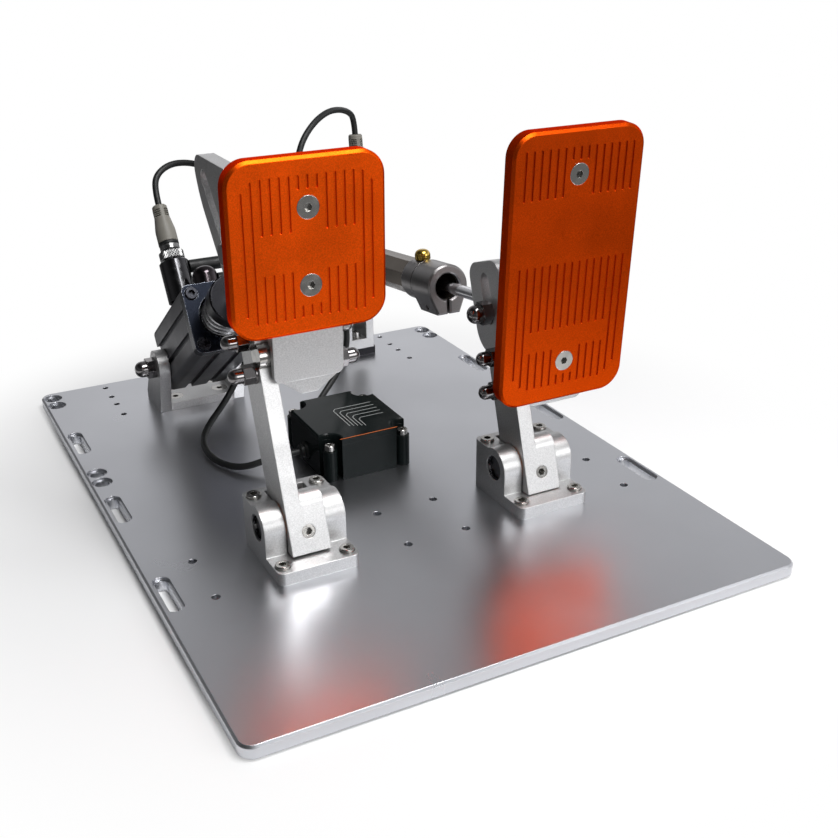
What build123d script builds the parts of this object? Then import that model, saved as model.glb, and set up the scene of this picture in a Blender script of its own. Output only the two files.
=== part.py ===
from build123d import *
import os
from math import asin, atan2, cos, degrees, hypot, pi, radians, sin, sqrt, tan

os.makedirs("parts", exist_ok=True)

# Sim racing pedal set: a brake and a throttle on one aluminium plate.
# X runs to the driver's right, Y runs away from the driver, Z is up.
# The origin is the centre of the plate's underside. Heights named ..._RISE
# are counted from the top of the plate.

# Base plate
PLATE_WIDTH = 330.0
PLATE_DEPTH = 450.0
PLATE_THICKNESS = 8.0
PLATE_CORNER = 8.0
PLATE_EDGE_CHAMFER = 1.2
EDGE_MARGIN = 7.6
EDGE_HOLE_DIAMETER = 9.0
EDGE_HOLE_SINK = 13.0
EDGE_HOLE_SINK_DEPTH = 1.6
EDGE_HOLE_PITCH = 14.5
REAR_PAIR_Y = 206.5
MIDDLE_PAIR_Y = 67.0
EDGE_SLOT_WIDTH = 7.0
EDGE_SLOT_LENGTH = 34.0
EDGE_SLOT_STEP = 3.0
EDGE_SLOT_Y_PLACES = [126.0, 19.25, -87.5]
SMALL_TAP_DIAMETER = 4.2
SMALL_COLUMN_X = 117.5
SMALL_COLUMN_Y_PLACES = [215.5, 196.0, 180.7, 160.0]
BRACKET_PITCH_X = 38.7
BRACKET_PITCH_Y = 41.25
OVERRUN = 2.0
HEX_SIDES = 6
SCREW_RIM = 0.4
KEY_SINK_SHARE = 0.667
DOME_ROUND_SHARE = 0.9

# Pivot brackets at the driver's side
PIVOT_Y = -78.0
PIVOT_RISE = 21.0
HUB_POCKET_REAR = 19.5
BRACKET_WIDTH = 49.0
BRACKET_FRONT_Y = -110.5
BRACKET_REAR_Y = -54.0
BRACKET_SCREW_FRONT_Y = -102.75
BRACKET_CORNER = 4.0
LEDGE_HEIGHT = 7.6
BLOCK_HEIGHT = 32.0
EAR_NOSE_RADIUS = 13.0
EAR_GAP = 24.0
PIVOT_BORE = 16.0
SCREW_HEAD_SINK = 3.2

# Bracket screws, M5 socket cap
CAP_THREAD = 5.0
CAP_HEAD = 8.6
CAP_HEAD_HEIGHT = 5.0
CAP_KEY = 4.0
CAP_KEY_DEPTH = 3.0
CAP_CLEARANCE = 0.2

# Pivot axle, flanged bushes, retaining rings
AXLE_DIAMETER = 13.0
BUSH_FLANGE = 24.0
BUSH_FLANGE_THICKNESS = 0.4
AXLE_END_INSET = 2.6
RING_THICKNESS = 1.1
RING_GROOVE_DEPTH = 0.5
RING_OPENING = 11.2
RING_INSET = 0.9
RUNNING_FIT = 0.03
SOFT_FIT = 0.3

# Pedal arms, cut from plate; v runs to the rear, u runs up the arm
ARM_THICKNESS = 9.5
HUB_WIDTH = 23.0
ARM_FRONT_V = -15.7
HUB_BOTTOM_U = -18.2
HUB_HEEL = 1.0
HUB_RADIUS = 13.0
HUB_TOP_U = 17.0
HUB_TOP_ROUND = 8.0
BAR_REAR_V = 10.5
GRUB_DIAMETER = 8.0
GRUB_U = -6.0
GRUB_KEY = 4.0
GRUB_INSET = 0.4

BRAKE_LEAN = 19.6
BRAKE_HEAD_START_U = 98.0
BRAKE_HEAD_FLANK_U = 177.6
BRAKE_HEAD_FLANK_V = 32.0
BRAKE_HEAD_ARC_U = 150.0
BRAKE_HEAD_ARC_V = 20.7
BRAKE_HEAD_REAR_V = 36.6
BRAKE_HEAD_REAR_U = 201.0
BRAKE_TOP_FRONT_U = 195.7
BRAKE_TOP_CORNER = 9.0
BRAKE_SLOT_WIDTH = 9.8
BRAKE_ROD_U = 152.0
BRAKE_ROD_V = 2.6
BRAKE_SLOT_TOP_U = 196.5
BRAKE_SLOT_TOP_V = 22.4
BRAKE_SLOT_BOTTOM_U = 149.0
BRAKE_SLOT_BOTTOM_V = 1.3

THROTTLE_LEAN = 17.5
THROTTLE_HEAD_REAR_V = 20.0
THROTTLE_HEAD_TOP_U = 126.0
THROTTLE_HEAD_LOW_U = 86.0
THROTTLE_HEAD_NECK_U = 70.0
THROTTLE_HEAD_CORNER = 9.0
THROTTLE_SLOT_V = 2.5
THROTTLE_SLOT_TOP_U = 114.1
THROTTLE_ROD_U = 95.0
THROTTLE_SLOT_BOTTOM_U = 92.0

# Cross bolts that hold the pad mounts, M6 with acorn nuts
CROSS_BOLT = 6.0
CROSS_BOLT_FIT = 0.1
BRAKE_BOLT_PLACES_U = [103.9, 85.5]
BRAKE_BOLT_PLACES_V = [-5.9, -7.6]
THROTTLE_BOLT_PLACES_U = [67.9, 47.2]
THROTTLE_BOLT_PLACES_V = [-2.9, -0.3]
NUT_ACROSS_FLATS = 10.0
NUT_HEX_HEIGHT = 6.5
NUT_DOME_HEIGHT = 8.0
NUT_DOME_RADIUS = 4.4
WASHER_DIAMETER = 12.0
WASHER_THICKNESS = 1.2
PAD_BUSH_DIAMETER = 14.4
PAD_BUSH_U = 94.7
PAD_BUSH_V = -13.5

# Pads, orange anodised plate with milled grooves
PAD_THICKNESS = 8.5
PAD_CORNER = 14.0
PAD_RIM_CHAMFER = 1.6
GROOVE_WIDTH = 1.3
GROOVE_DEPTH = 0.8
GROOVE_PITCH = 5.1
PAD_SCREW_HEAD = 12.5
PAD_SCREW_THREAD = 6.0
PAD_SCREW_KEY = 4.0
PAD_SCREW_LENGTH = 15.0
COUNTERSINK = 82.0
PAD_MOUNT_PLATE = 7.5

BRAKE_PAD_WIDTH = 88.0
BRAKE_PAD_HEIGHT = 94.0
BRAKE_PAD_X = -63.0
BRAKE_PAD_BACK_Y = -71.9
BRAKE_PAD_RISE = 178.0
BRAKE_PAD_TILT = 1.0
BRAKE_PAD_SCREW_PITCH = 41.4
BRAKE_MOUNT_WIDTH = 41.0
BRAKE_MOUNT_X = -62.5
BRAKE_MOUNT_BELOW = 77.0
BRAKE_MOUNT_ABOVE = 34.0
BRAKE_BLOCK_DEPTH = 27.0
BRAKE_BLOCK_HEIGHT = 34.0
BRAKE_BLOCK_DROP = 10.0
BRAKE_RIB_WIDTH = 10.0
MOUNT_CORNER = 4.0

THROTTLE_PAD_WIDTH = 87.5
THROTTLE_PAD_HEIGHT = 163.5
THROTTLE_PAD_X = 92.5
THROTTLE_PAD_BACK_Y = -85.4
THROTTLE_PAD_RISE = 146.0
THROTTLE_PAD_TILT = 3.0
THROTTLE_PAD_SCREW_PITCH = 112.8
THROTTLE_MOUNT_WIDTH = 37.6
THROTTLE_MOUNT_BELOW = 88.0
THROTTLE_MOUNT_ABOVE = 68.0
THROTTLE_BLOCK_FRONT_Y = -79.0
THROTTLE_BLOCK_REAR_Y = -55.0
THROTTLE_BLOCK_LOW = 58.5
THROTTLE_BLOCK_HIGH = 96.0
THROTTLE_RIB_WIDTH = 12.0
THROTTLE_RIB_DEPTH = 9.0

# Brake unit: grooved square housing with a spring and a hydraulic piston
BRAKE_UNIT_X = -61.0
BRAKE_REAR_PIVOT_Y = 152.0
BRAKE_REAR_PIVOT_RISE = 35.0
BRAKE_AXIS_ABOVE_PIVOT = 7.5
HOUSING_SIDE = 47.0
HOUSING_REAR_REACH = 14.7
HOUSING_FRONT = 81.0
HOUSING_CORNER = 5.0
HOUSING_GROOVE_WIDTH = 4.6
HOUSING_GROOVE_DEPTH = 2.2
HOUSING_GROOVE_OFFSET = 8.0
END_PLATE_THICKNESS = 8.0
END_PLATE_SCREW_PITCH = 34.8
SPRING_BORE = 32.0
SPRING_SHOULDER = 42.0
PISTON_BORE = 18.0
PISTON_BORE_FLOOR = 7.0
ROD_DIAMETER = 10.0
PISTON_LENGTH = 12.0
PISTON_START = 29.5
SPRING_SEAT_DIAMETER = 34.0
SPRING_SEAT_BACK = 113.0
SPRING_SEAT_LENGTH = 12.0
SPRING_SEAT_RIM = 1.0
SPRING_WIRE = 3.6
SPRING_MEAN_DIAMETER = 26.0
SPRING_TURNS = 8
SPRING_END_GAP = 0.2
ROD_EYE_RADIUS = 12.0
ROD_EYE_WIDTH = 10.0
BALL_DIAMETER = 15.0
BALL_WIDTH = 11.0
ROD_BOLT = 8.0
OPEN_PIVOT_CLEARANCE = 0.5
LOCK_NUT_FLATS = 15.0
LOCK_NUT_HEIGHT = 6.5
ROD_END_SHANK = 24.0
ROD_END_SHANK_DIAMETER = 13.0
BRAKE_CHEEK = 8.0
BRAKE_CHEEK_GAP = 48.0
BRAKE_CHEEK_TOP_RADIUS = 12.0
BRAKE_FOOT_THICKNESS = 6.0
BRAKE_FOOT_FRONT_Y = 149.0
BRAKE_FOOT_REAR_Y = 183.0
FOOT_SCREW = 6.0
FOOT_SCREW_HEAD = 12.0
FOOT_SCREW_KEY = 4.0
FOOT_SCREW_INSET = 5.0
FOOT_SCREW_EDGE = 1.0

ROD_BOLT_HEAD = 13.0
ROD_BOLT_HEAD_HEIGHT = 4.0
ROD_BOLT_RIM = 1.0
ROD_NUT_HEIGHT = 7.0
SPACER_DIAMETER = 13.0
PISTON_SEAL = 2.0
PLATE_SCREW = 5.0
PLATE_SCREW_HEAD = 8.5
PLATE_SCREW_SINK = 3.5
PLATE_SCREW_KEY = 4.0
PIVOT_NUT_FLATS = 13.0
PIVOT_NUT_DOME = 5.8

# Pressure sensors with their plugs
SENSOR_THREAD = 9.0
SENSOR_STUB = 5.0
FITTING_STUB = 5.0
KNURL_COUNT = 12
KNURL_RADIUS = 0.9
PLUG_NECK_DIAMETER = 11.0
SENSOR_DIAMETER = 20.0
SENSOR_LENGTH = 30.0
SENSOR_CONE = 2.0
SENSOR_RING_DIAMETER = 17.0
SENSOR_RING_LENGTH = 6.0
PLUG_RING_DIAMETER = 14.0
PLUG_RING_LENGTH = 7.0
PLUG_LENGTH = 27.0
PLUG_STEP_SHARES = [0.333, 0.667, 0.833, 0.875]
PLUG_TIP_DIAMETER = 9.0
CABLE_DIAMETER = 4.4
BRAKE_SENSOR_X = -74.5
BRAKE_SENSOR_ALONG = 51.0
HOSE_DIAMETER = 9.0
FITTING_ALONG = 70.0
FITTING_DIAMETER = 17.0
FITTING_HEIGHT = 15.0
FITTING_DOME = 6.8
FITTING_WASHER = 20.0
FITTING_WASHER_THICKNESS = 1.5

# Throttle unit: a slim damper tube with a spring inside
THROTTLE_UNIT_X = 84.0
THROTTLE_REAR_PIVOT_Y = 198.0
THROTTLE_REAR_PIVOT_RISE = 81.0
CLAMP_FRONT_Y = 36.0
CLAMP_DIAMETER = 30.5
CLAMP_LENGTH = 26.0
CLAMP_DROP = 19.0
CLAMP_LUG_WIDTH = 17.0
CLAMP_SLIT = 1.5
CLAMP_BORE = 18.0
O_RING_LENGTH = 2.4
O_RING_DIAMETER = 27.0
COLLAR_LENGTH = 14.0
COLLAR_DIAMETER = 29.0
TUBE_ACROSS_FLATS = 24.0
TUBE_SIDES = 8
TUBE_TURN = 22.5
TUBE_BORE = 18.0
TUBE_LENGTH = 84.0
REAR_BLOCK_SIDE = 27.0
REAR_BLOCK_BACK = 14.5
REAR_TONGUE_WIDTH = 12.0
REAR_TONGUE_RADIUS = 10.0
THROTTLE_ROD_DIAMETER = 8.0
THROTTLE_PISTON_LENGTH = 10.0
THROTTLE_EYE_RADIUS = 10.5
THROTTLE_EYE_WIDTH = 9.0
THROTTLE_BALL = 14.0
THROTTLE_BALL_WIDTH = 9.8
THROTTLE_LOCK_NUT_FLATS = 15.0
THROTTLE_SHANK = 18.0
BLEED_DIAMETER = 11.0
BLEED_HEIGHT = 7.0
BLEED_THREAD = 7.4
BLEED_DOME = 4.4
THROTTLE_SENSOR_AHEAD = 28.5
THROTTLE_SENSOR_LENGTH = 42.7
THROTTLE_CHEEK = 6.5
THROTTLE_BRACKET_FOOT = 6.0
THROTTLE_BRACKET_BASE = 8.0
THROTTLE_BRACKET_FRONT_Y = 184.0
THROTTLE_BRACKET_REAR_Y = 220.0
THROTTLE_CHEEK_TOP_RADIUS = 13.0
FOOT_HOLE_MARGIN = 1.9

TUBE_SPIGOT = 22.0
BLEED_STUB = 2.5
THROTTLE_SPRING_LENGTH = 58.0
THROTTLE_SPRING_WIRE = 2.0
THROTTLE_SPRING_MEAN = 14.0
THROTTLE_SPRING_TURNS = 8
THROTTLE_SHANK_DIAMETER = 11.0
THROTTLE_FOOT_WIDTH = 29.4
CLAMP_LIP = 4.0
CLAMP_SCREW_DROP = 15.0
ROUTE_SHARE = 0.47
HOSE_RISE = 24.0
HOSE_REACH = 46.0

# Control box
BOX_X = 0.0
BOX_Y = 23.5
BOX_WIDTH = 61.0
BOX_DEPTH = 70.0
BOX_HEIGHT = 25.0
BOX_LID = 4.0
BOX_LID_RIM = 0.8
BOX_WALL = 2.6
BOX_POST_RADIUS = 4.6
BOX_POST_INSET = 4.6
BOX_NOTCH_RADIUS = 8.0
BOX_POST_HEIGHT = 21.0
BOX_SCREW = 4.0
BOX_SCREW_HEAD = 7.0
BOX_SCREW_KEY = 3.0
BOARD_THICKNESS = 1.6
BOARD_RISE = 8.0
GROMMET_DIAMETER = 9.0
GROMMET_LIP = 1.6
GROMMET_NECK = 3.0
GROMMET_RISE = 9.0
BOARD_CHIP = 12.0
BOARD_POST_PITCH_X = 30.5
BOARD_POST_PITCH_Y = 23.3

# Cable routes in the part's own frame, chosen by hand
CABLE_LEAD = 15.9
GROMMET_LEAD = 19.6
BRAKE_LOOP_POINTS = [
    (-70.8, 185.2, 179.9), (-57.8, 187.4, 186.9), (-44.7, 179.1, 184.7), (-34.8, 168.5, 178.3),
    (-26.9, 158.2, 169.2), (-21.5, 149.8, 156.9), (-19.0, 145.0, 142.0),
]
BRAKE_RUN_POINTS = [
    (-18.6, 144.8, 138.8), (-16.3, 143.5, 119.2), (-15.4, 141.5, 99.5), (-17.7, 138.3, 80.1),
    (-22.9, 134.6, 61.4), (-31.3, 130.2, 44.2), (-43.7, 123.0, 30.7), (-57.2, 112.2, 21.1),
    (-71.4, 99.7, 15.4), (-82.2, 83.5, 12.8), (-86.5, 64.3, 12.0), (-84.3, 44.7, 11.2),
    (-73.3, 28.8, 11.3),
]
THROTTLE_LOOP_POINTS = [
    (74.8, 176.8, 213.5), (59.8, 165.0, 213.0), (46.6, 154.9, 211.6), (33.8, 146.0, 206.6),
    (23.2, 139.4, 196.7), (18.0, 136.0, 182.0),
]
THROTTLE_RUN_POINTS = [
    (17.9, 135.7, 179.0), (17.1, 133.0, 159.9), (19.2, 130.0, 141.0), (24.7, 126.7, 122.8),
    (31.5, 122.8, 105.2), (37.2, 118.1, 87.4), (40.7, 112.0, 69.5), (38.7, 106.0, 51.6),
    (29.5, 100.5, 36.0), (15.0, 94.5, 24.0),
]

# Worked out from the sizes above
PIVOT_X = 2 * BRACKET_PITCH_X
TOP = PLATE_THICKNESS
PIVOT_Z = TOP + PIVOT_RISE
ARM_AXIS = (1, 0, 0)


def finish(part, name):
    part.label = name
    export_step(part, f"parts/{name}.step")


def arm_plane(lean, x):
    # Local x is v, to the rear of the arm; local y is u, up the arm.
    tilt = radians(lean)
    return Plane(origin=(x, PIVOT_Y, PIVOT_Z), x_dir=(0, cos(tilt), -sin(tilt)), z_dir=ARM_AXIS)


def arm_point(lean, u, v):
    tilt = radians(lean)
    return PIVOT_Y + u * sin(tilt) + v * cos(tilt), PIVOT_Z + u * cos(tilt) - v * sin(tilt)


class Unit:
    """The line from a rear pivot to a rod pivot: places and planes along it."""

    def __init__(self, x, rear_y, rear_z, rod_y, rod_z, above):
        reach = hypot(rod_y - rear_y, rod_z - rear_z)
        self.angle = atan2(rod_z - rear_z, rear_y - rod_y) - asin(above / reach)
        self.x = x
        self.along = (0, -cos(self.angle), sin(self.angle))
        self.up = (0, sin(self.angle), cos(self.angle))
        self.foot_y = rear_y + above * sin(self.angle)
        self.foot_z = rear_z + above * cos(self.angle)
        self.rod = sqrt(reach**2 - above**2)

    def point(self, along, up=0.0, x=None):
        return (
            self.x if x is None else x,
            self.foot_y + along * self.along[1] + up * self.up[1],
            self.foot_z + along * self.along[2] + up * self.up[2],
        )

    def across(self, along):
        # Sketch plane square to the line; local x is X, local y is up.
        return Plane(origin=self.point(along), x_dir=(1, 0, 0), z_dir=self.along)

    def lengthwise(self, x):
        # Side plane: local x is forward along the line, local y is up.
        return Plane(origin=self.point(0, 0, x), x_dir=self.along, z_dir=(-1, 0, 0))

    def upright(self, along, up, x=None):
        # Plane square to the unit's up direction.
        return Plane(origin=self.point(along, up, x), x_dir=(1, 0, 0), z_dir=self.up)


brake_rod_y, brake_rod_z = arm_point(BRAKE_LEAN, BRAKE_ROD_U, BRAKE_ROD_V)
throttle_rod_y, throttle_rod_z = arm_point(THROTTLE_LEAN, THROTTLE_ROD_U, THROTTLE_SLOT_V)
brake_line = Unit(
    BRAKE_UNIT_X, BRAKE_REAR_PIVOT_Y, TOP + BRAKE_REAR_PIVOT_RISE,
    brake_rod_y, brake_rod_z, BRAKE_AXIS_ABOVE_PIVOT,
)
throttle_line = Unit(
    THROTTLE_UNIT_X, THROTTLE_REAR_PIVOT_Y, TOP + THROTTLE_REAR_PIVOT_RISE,
    throttle_rod_y, throttle_rod_z, 0.0,
)
print("brake axis", degrees(brake_line.angle), "rod", brake_line.rod, brake_rod_y, brake_rod_z)
print("throttle axis", degrees(throttle_line.angle), "rod", throttle_line.rod, throttle_rod_y, throttle_rod_z)

# Places that both screws and holes use
small_columns = [(side * SMALL_COLUMN_X, y) for side in (-1, 1) for y in SMALL_COLUMN_Y_PLACES]
bracket_rows = [BRACKET_SCREW_FRONT_Y, BRACKET_SCREW_FRONT_Y + BRACKET_PITCH_Y]
bracket_columns = [side * (step - 0.5) * BRACKET_PITCH_X for side in (-1, 1) for step in (1, 2, 3, 4)]
bracket_holes = [(x, y) for x in bracket_columns for y in bracket_rows]
edge_x = PLATE_WIDTH / 2 - EDGE_MARGIN
edge_holes = [
    (side * edge_x, centre + end * EDGE_HOLE_PITCH / 2)
    for side in (-1, 1)
    for centre in (REAR_PAIR_Y, MIDDLE_PAIR_Y)
    for end in (-1, 1)
]
edge_slots = [(side * edge_x, y) for side in (-1, 1) for y in EDGE_SLOT_Y_PLACES]
brake_foot_holes = [
    (BRAKE_UNIT_X + side * (BRAKE_CHEEK_GAP / 2 - FOOT_SCREW_HEAD / 2 - FOOT_SCREW_EDGE), y)
    for side in (-1, 1)
    for y in (BRAKE_FOOT_FRONT_Y + FOOT_SCREW_HEAD, BRAKE_FOOT_REAR_Y - FOOT_SCREW_INSET)
]
throttle_inner_gap = REAR_TONGUE_WIDTH + 2 * SOFT_FIT
throttle_bracket_width = throttle_inner_gap + 2 * THROTTLE_CHEEK
throttle_foot_holes = [
    (THROTTLE_UNIT_X, THROTTLE_BRACKET_FRONT_Y + FOOT_SCREW_HEAD / 2 + FOOT_HOLE_MARGIN),
    (THROTTLE_UNIT_X, THROTTLE_BRACKET_REAR_Y - FOOT_SCREW_HEAD / 2 - FOOT_HOLE_MARGIN),
]
box_post_places = [
    (BOX_X + side * (BOX_WIDTH / 2 - BOX_POST_INSET), BOX_Y + end * (BOX_DEPTH / 2 - BOX_POST_INSET))
    for side in (-1, 1)
    for end in (-1, 1)
]


def socket(radius, length, key, key_depth, plane, thread_radius, thread_length):
    """A socket cap screw: its head stands on the plane and its thread goes below."""
    with BuildPart() as screw:
        with BuildSketch(plane):
            Circle(radius)
        extrude(amount=length)
        rims = screw.edges().filter_by(GeomType.CIRCLE).group_by(Axis(plane.origin, plane.z_dir))
        chamfer(rims[-1], SCREW_RIM)
        with BuildSketch(plane):
            Circle(thread_radius)
        extrude(amount=-thread_length)
        with BuildSketch(plane.offset(length - key_depth)):
            RegularPolygon(key / 2, HEX_SIDES, major_radius=False)
        extrude(amount=key_depth, mode=Mode.SUBTRACT)
    return screw.part


def sunk_screw(head, cone, thread, length, key, plane):
    """A countersunk screw whose face lies in the plane, its thread below."""
    with BuildPart() as screw:
        with BuildSketch(plane):
            Circle(head / 2)
        with BuildSketch(plane.offset(-cone)):
            Circle(thread / 2)
        loft()
        with BuildSketch(plane.offset(-cone)):
            Circle(thread / 2)
        extrude(amount=cone - length)
        with BuildSketch(plane.offset(-cone * KEY_SINK_SHARE)):
            RegularPolygon(key / 2, HEX_SIDES, major_radius=False)
        extrude(amount=cone * KEY_SINK_SHARE, mode=Mode.SUBTRACT)
    return screw.part


def acorn_nut(plane, flats, hex_height, dome_height, dome_radius, thread_radius, thread_depth):
    """A domed cap nut that stands on the plane."""
    with BuildPart() as nut:
        with BuildSketch(plane):
            RegularPolygon(flats / 2, HEX_SIDES, major_radius=False)
        extrude(amount=hex_height)
        with BuildSketch(plane.offset(hex_height)):
            Circle(dome_radius)
        extrude(amount=dome_height)
        ends = nut.edges().filter_by(GeomType.CIRCLE).group_by(Axis(plane.origin, plane.z_dir))[-1]
        fillet(ends, dome_radius * DOME_ROUND_SHARE)
        with BuildSketch(plane):
            Circle(thread_radius)
        extrude(amount=thread_depth, mode=Mode.SUBTRACT)
    return nut.part


def ring_part(plane, outer, inner, length):
    with BuildPart() as ring:
        with BuildSketch(plane):
            Circle(outer)
            Circle(inner, mode=Mode.SUBTRACT)
        extrude(amount=length)
    return ring.part


def round_bar(plane, radius, length):
    with BuildPart() as bar:
        with BuildSketch(plane):
            Circle(radius)
        extrude(amount=length)
    return bar.part


def side_plane(x, y, z, direction):
    # Faces left (-1) or right (+1) along X.
    return Plane(origin=(x, y, z), x_dir=(0, 1, 0), z_dir=(direction, 0, 0))


def stud_with_nuts(left, right, y, z, radius):
    """A stud across X with an acorn nut and a washer at each end: stud, nuts."""
    thread = NUT_HEX_HEIGHT + WASHER_THICKNESS
    stud = round_bar(side_plane(left - thread, y, z, 1), radius, right - left + 2 * thread)
    nuts = []
    for x, direction in ((left, -1), (right, 1)):
        seat = side_plane(x, y, z, direction)
        nuts.append(ring_part(seat, WASHER_DIAMETER / 2, radius + RUNNING_FIT, WASHER_THICKNESS))
        nuts.append(
            acorn_nut(
                seat.offset(WASHER_THICKNESS), NUT_ACROSS_FLATS, NUT_HEX_HEIGHT, NUT_DOME_HEIGHT,
                NUT_DOME_RADIUS, radius + RUNNING_FIT, NUT_HEX_HEIGHT + RUNNING_FIT,
            )
        )
    return stud, nuts


# Base plate with its edge holes, stepped slots and threaded holes
with BuildPart() as base_plate:
    with BuildSketch():
        RectangleRounded(PLATE_WIDTH, PLATE_DEPTH, PLATE_CORNER)
    extrude(amount=PLATE_THICKNESS)
    rims = base_plate.faces().sort_by(Axis.Z)
    chamfer(rims[0].edges() + rims[-1].edges(), PLATE_EDGE_CHAMFER)
    with BuildSketch(Plane.XY.offset(TOP)):
        with Locations(*edge_holes):
            Circle(EDGE_HOLE_DIAMETER / 2)
        with Locations(*edge_slots):
            SlotOverall(EDGE_SLOT_LENGTH, EDGE_SLOT_WIDTH, rotation=90)
        with Locations(*small_columns):
            Circle(SMALL_TAP_DIAMETER / 2)
        with Locations(*bracket_holes):
            Circle(CAP_THREAD / 2 + RUNNING_FIT)
        with Locations(*brake_foot_holes):
            Circle(FOOT_SCREW / 2 + RUNNING_FIT)
        with Locations(*throttle_foot_holes):
            Circle(CAP_THREAD / 2 + RUNNING_FIT)
        with Locations(*box_post_places):
            Circle(BOX_SCREW / 2 + RUNNING_FIT)
    extrude(amount=-PLATE_THICKNESS, mode=Mode.SUBTRACT)
    with BuildSketch(Plane.XY.offset(TOP)):
        with Locations(*edge_holes):
            Circle(EDGE_HOLE_SINK / 2)
        with Locations(*edge_slots):
            SlotOverall(EDGE_SLOT_LENGTH + EDGE_SLOT_STEP, EDGE_SLOT_WIDTH + EDGE_SLOT_STEP, rotation=90)
    extrude(amount=-EDGE_HOLE_SINK_DEPTH, mode=Mode.SUBTRACT)
finish(base_plate.part, "base_plate")


def make_bracket(name, centre):
    """Clevis bracket: front ledge, two round-nosed ears and a rear wall."""
    nose_y = PIVOT_Y - EAR_NOSE_RADIUS
    step = BLOCK_HEIGHT - PIVOT_RISE
    nose_end = PIVOT_Y + sqrt(EAR_NOSE_RADIUS**2 - step**2)
    with BuildPart() as bracket:
        with BuildSketch(Plane.YZ.offset(centre - BRACKET_WIDTH / 2)):
            with BuildLine():
                Polyline(
                    (nose_end, TOP + BLOCK_HEIGHT), (BRACKET_REAR_Y, TOP + BLOCK_HEIGHT),
                    (BRACKET_REAR_Y, TOP), (BRACKET_FRONT_Y, TOP),
                    (BRACKET_FRONT_Y, TOP + LEDGE_HEIGHT), (nose_y, TOP + LEDGE_HEIGHT),
                    (nose_y, PIVOT_Z),
                )
                ThreePointArc(
                    (nose_y, PIVOT_Z),
                    (PIVOT_Y - EAR_NOSE_RADIUS * sin(pi / 4), PIVOT_Z + EAR_NOSE_RADIUS * sin(pi / 4)),
                    (PIVOT_Y, PIVOT_Z + EAR_NOSE_RADIUS),
                )
                RadiusArc(
                    (PIVOT_Y, PIVOT_Z + EAR_NOSE_RADIUS), (nose_end, TOP + BLOCK_HEIGHT), EAR_NOSE_RADIUS
                )
            make_face()
        extrude(amount=BRACKET_WIDTH)
        uprights = bracket.edges().filter_by(Axis.Z)
        fillet(uprights.group_by(Axis.Y)[0] + uprights.group_by(Axis.Y)[-1], BRACKET_CORNER)
        with BuildSketch(Plane.YZ.offset(centre - EAR_GAP / 2)):
            with Locations((BRACKET_FRONT_Y - OVERRUN, TOP + LEDGE_HEIGHT)):
                Rectangle(
                    PIVOT_Y + HUB_POCKET_REAR - BRACKET_FRONT_Y + OVERRUN, BLOCK_HEIGHT,
                    align=(Align.MIN, Align.MIN),
                )
        extrude(amount=EAR_GAP, mode=Mode.SUBTRACT)
        with BuildSketch(Plane.YZ.offset(centre - BRACKET_WIDTH / 2)):
            with Locations((PIVOT_Y, PIVOT_Z)):
                Circle(PIVOT_BORE / 2)
        extrude(amount=BRACKET_WIDTH, mode=Mode.SUBTRACT)
        for side in (-1, 1):
            seat = centre + side * (BRACKET_WIDTH / 2 - RING_INSET)
            with BuildSketch(Plane.YZ.offset(seat)):
                with Locations((PIVOT_Y, PIVOT_Z)):
                    Circle(PIVOT_BORE / 2 + RING_GROOVE_DEPTH)
            extrude(amount=-side * RING_THICKNESS, mode=Mode.SUBTRACT)
            for y, height in bracket_screw_seats:
                with Locations(Plane.XY.offset(TOP + height)):
                    with Locations((centre + side * BRACKET_PITCH_X / 2, y)):
                        CounterBoreHole(
                            CAP_THREAD / 2 + CAP_CLEARANCE, CAP_HEAD / 2 + CAP_CLEARANCE, SCREW_HEAD_SINK
                        )
    finish(bracket.part, name)


bracket_screw_seats = [
    (BRACKET_SCREW_FRONT_Y, LEDGE_HEIGHT),
    (BRACKET_SCREW_FRONT_Y + BRACKET_PITCH_Y, BLOCK_HEIGHT),
]
make_bracket("brake_bracket", -PIVOT_X)
make_bracket("throttle_bracket", PIVOT_X)

bracket_screws = [
    socket(
        CAP_HEAD / 2, CAP_HEAD_HEIGHT, CAP_KEY, CAP_KEY_DEPTH,
        Plane.XY.offset(TOP + height - SCREW_HEAD_SINK), CAP_THREAD / 2,
        TOP + height - SCREW_HEAD_SINK - OVERRUN,
    ).moved(Location((pedal * PIVOT_X + side * BRACKET_PITCH_X / 2, y, 0)))
    for pedal in (-1, 1)
    for side in (-1, 1)
    for y, height in bracket_screw_seats
]
finish(Compound(children=bracket_screws), "bracket_screws")


# Pedal arms
grub_reach = sqrt((AXLE_DIAMETER / 2 + RUNNING_FIT) ** 2 - (GRUB_U + GRUB_DIAMETER / 2) ** 2)
grub_depth = -ARM_FRONT_V - grub_reach - RUNNING_FIT
brake_bolts = list(zip(BRAKE_BOLT_PLACES_U, BRAKE_BOLT_PLACES_V))
throttle_bolts = list(zip(THROTTLE_BOLT_PLACES_U, THROTTLE_BOLT_PLACES_V))


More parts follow.
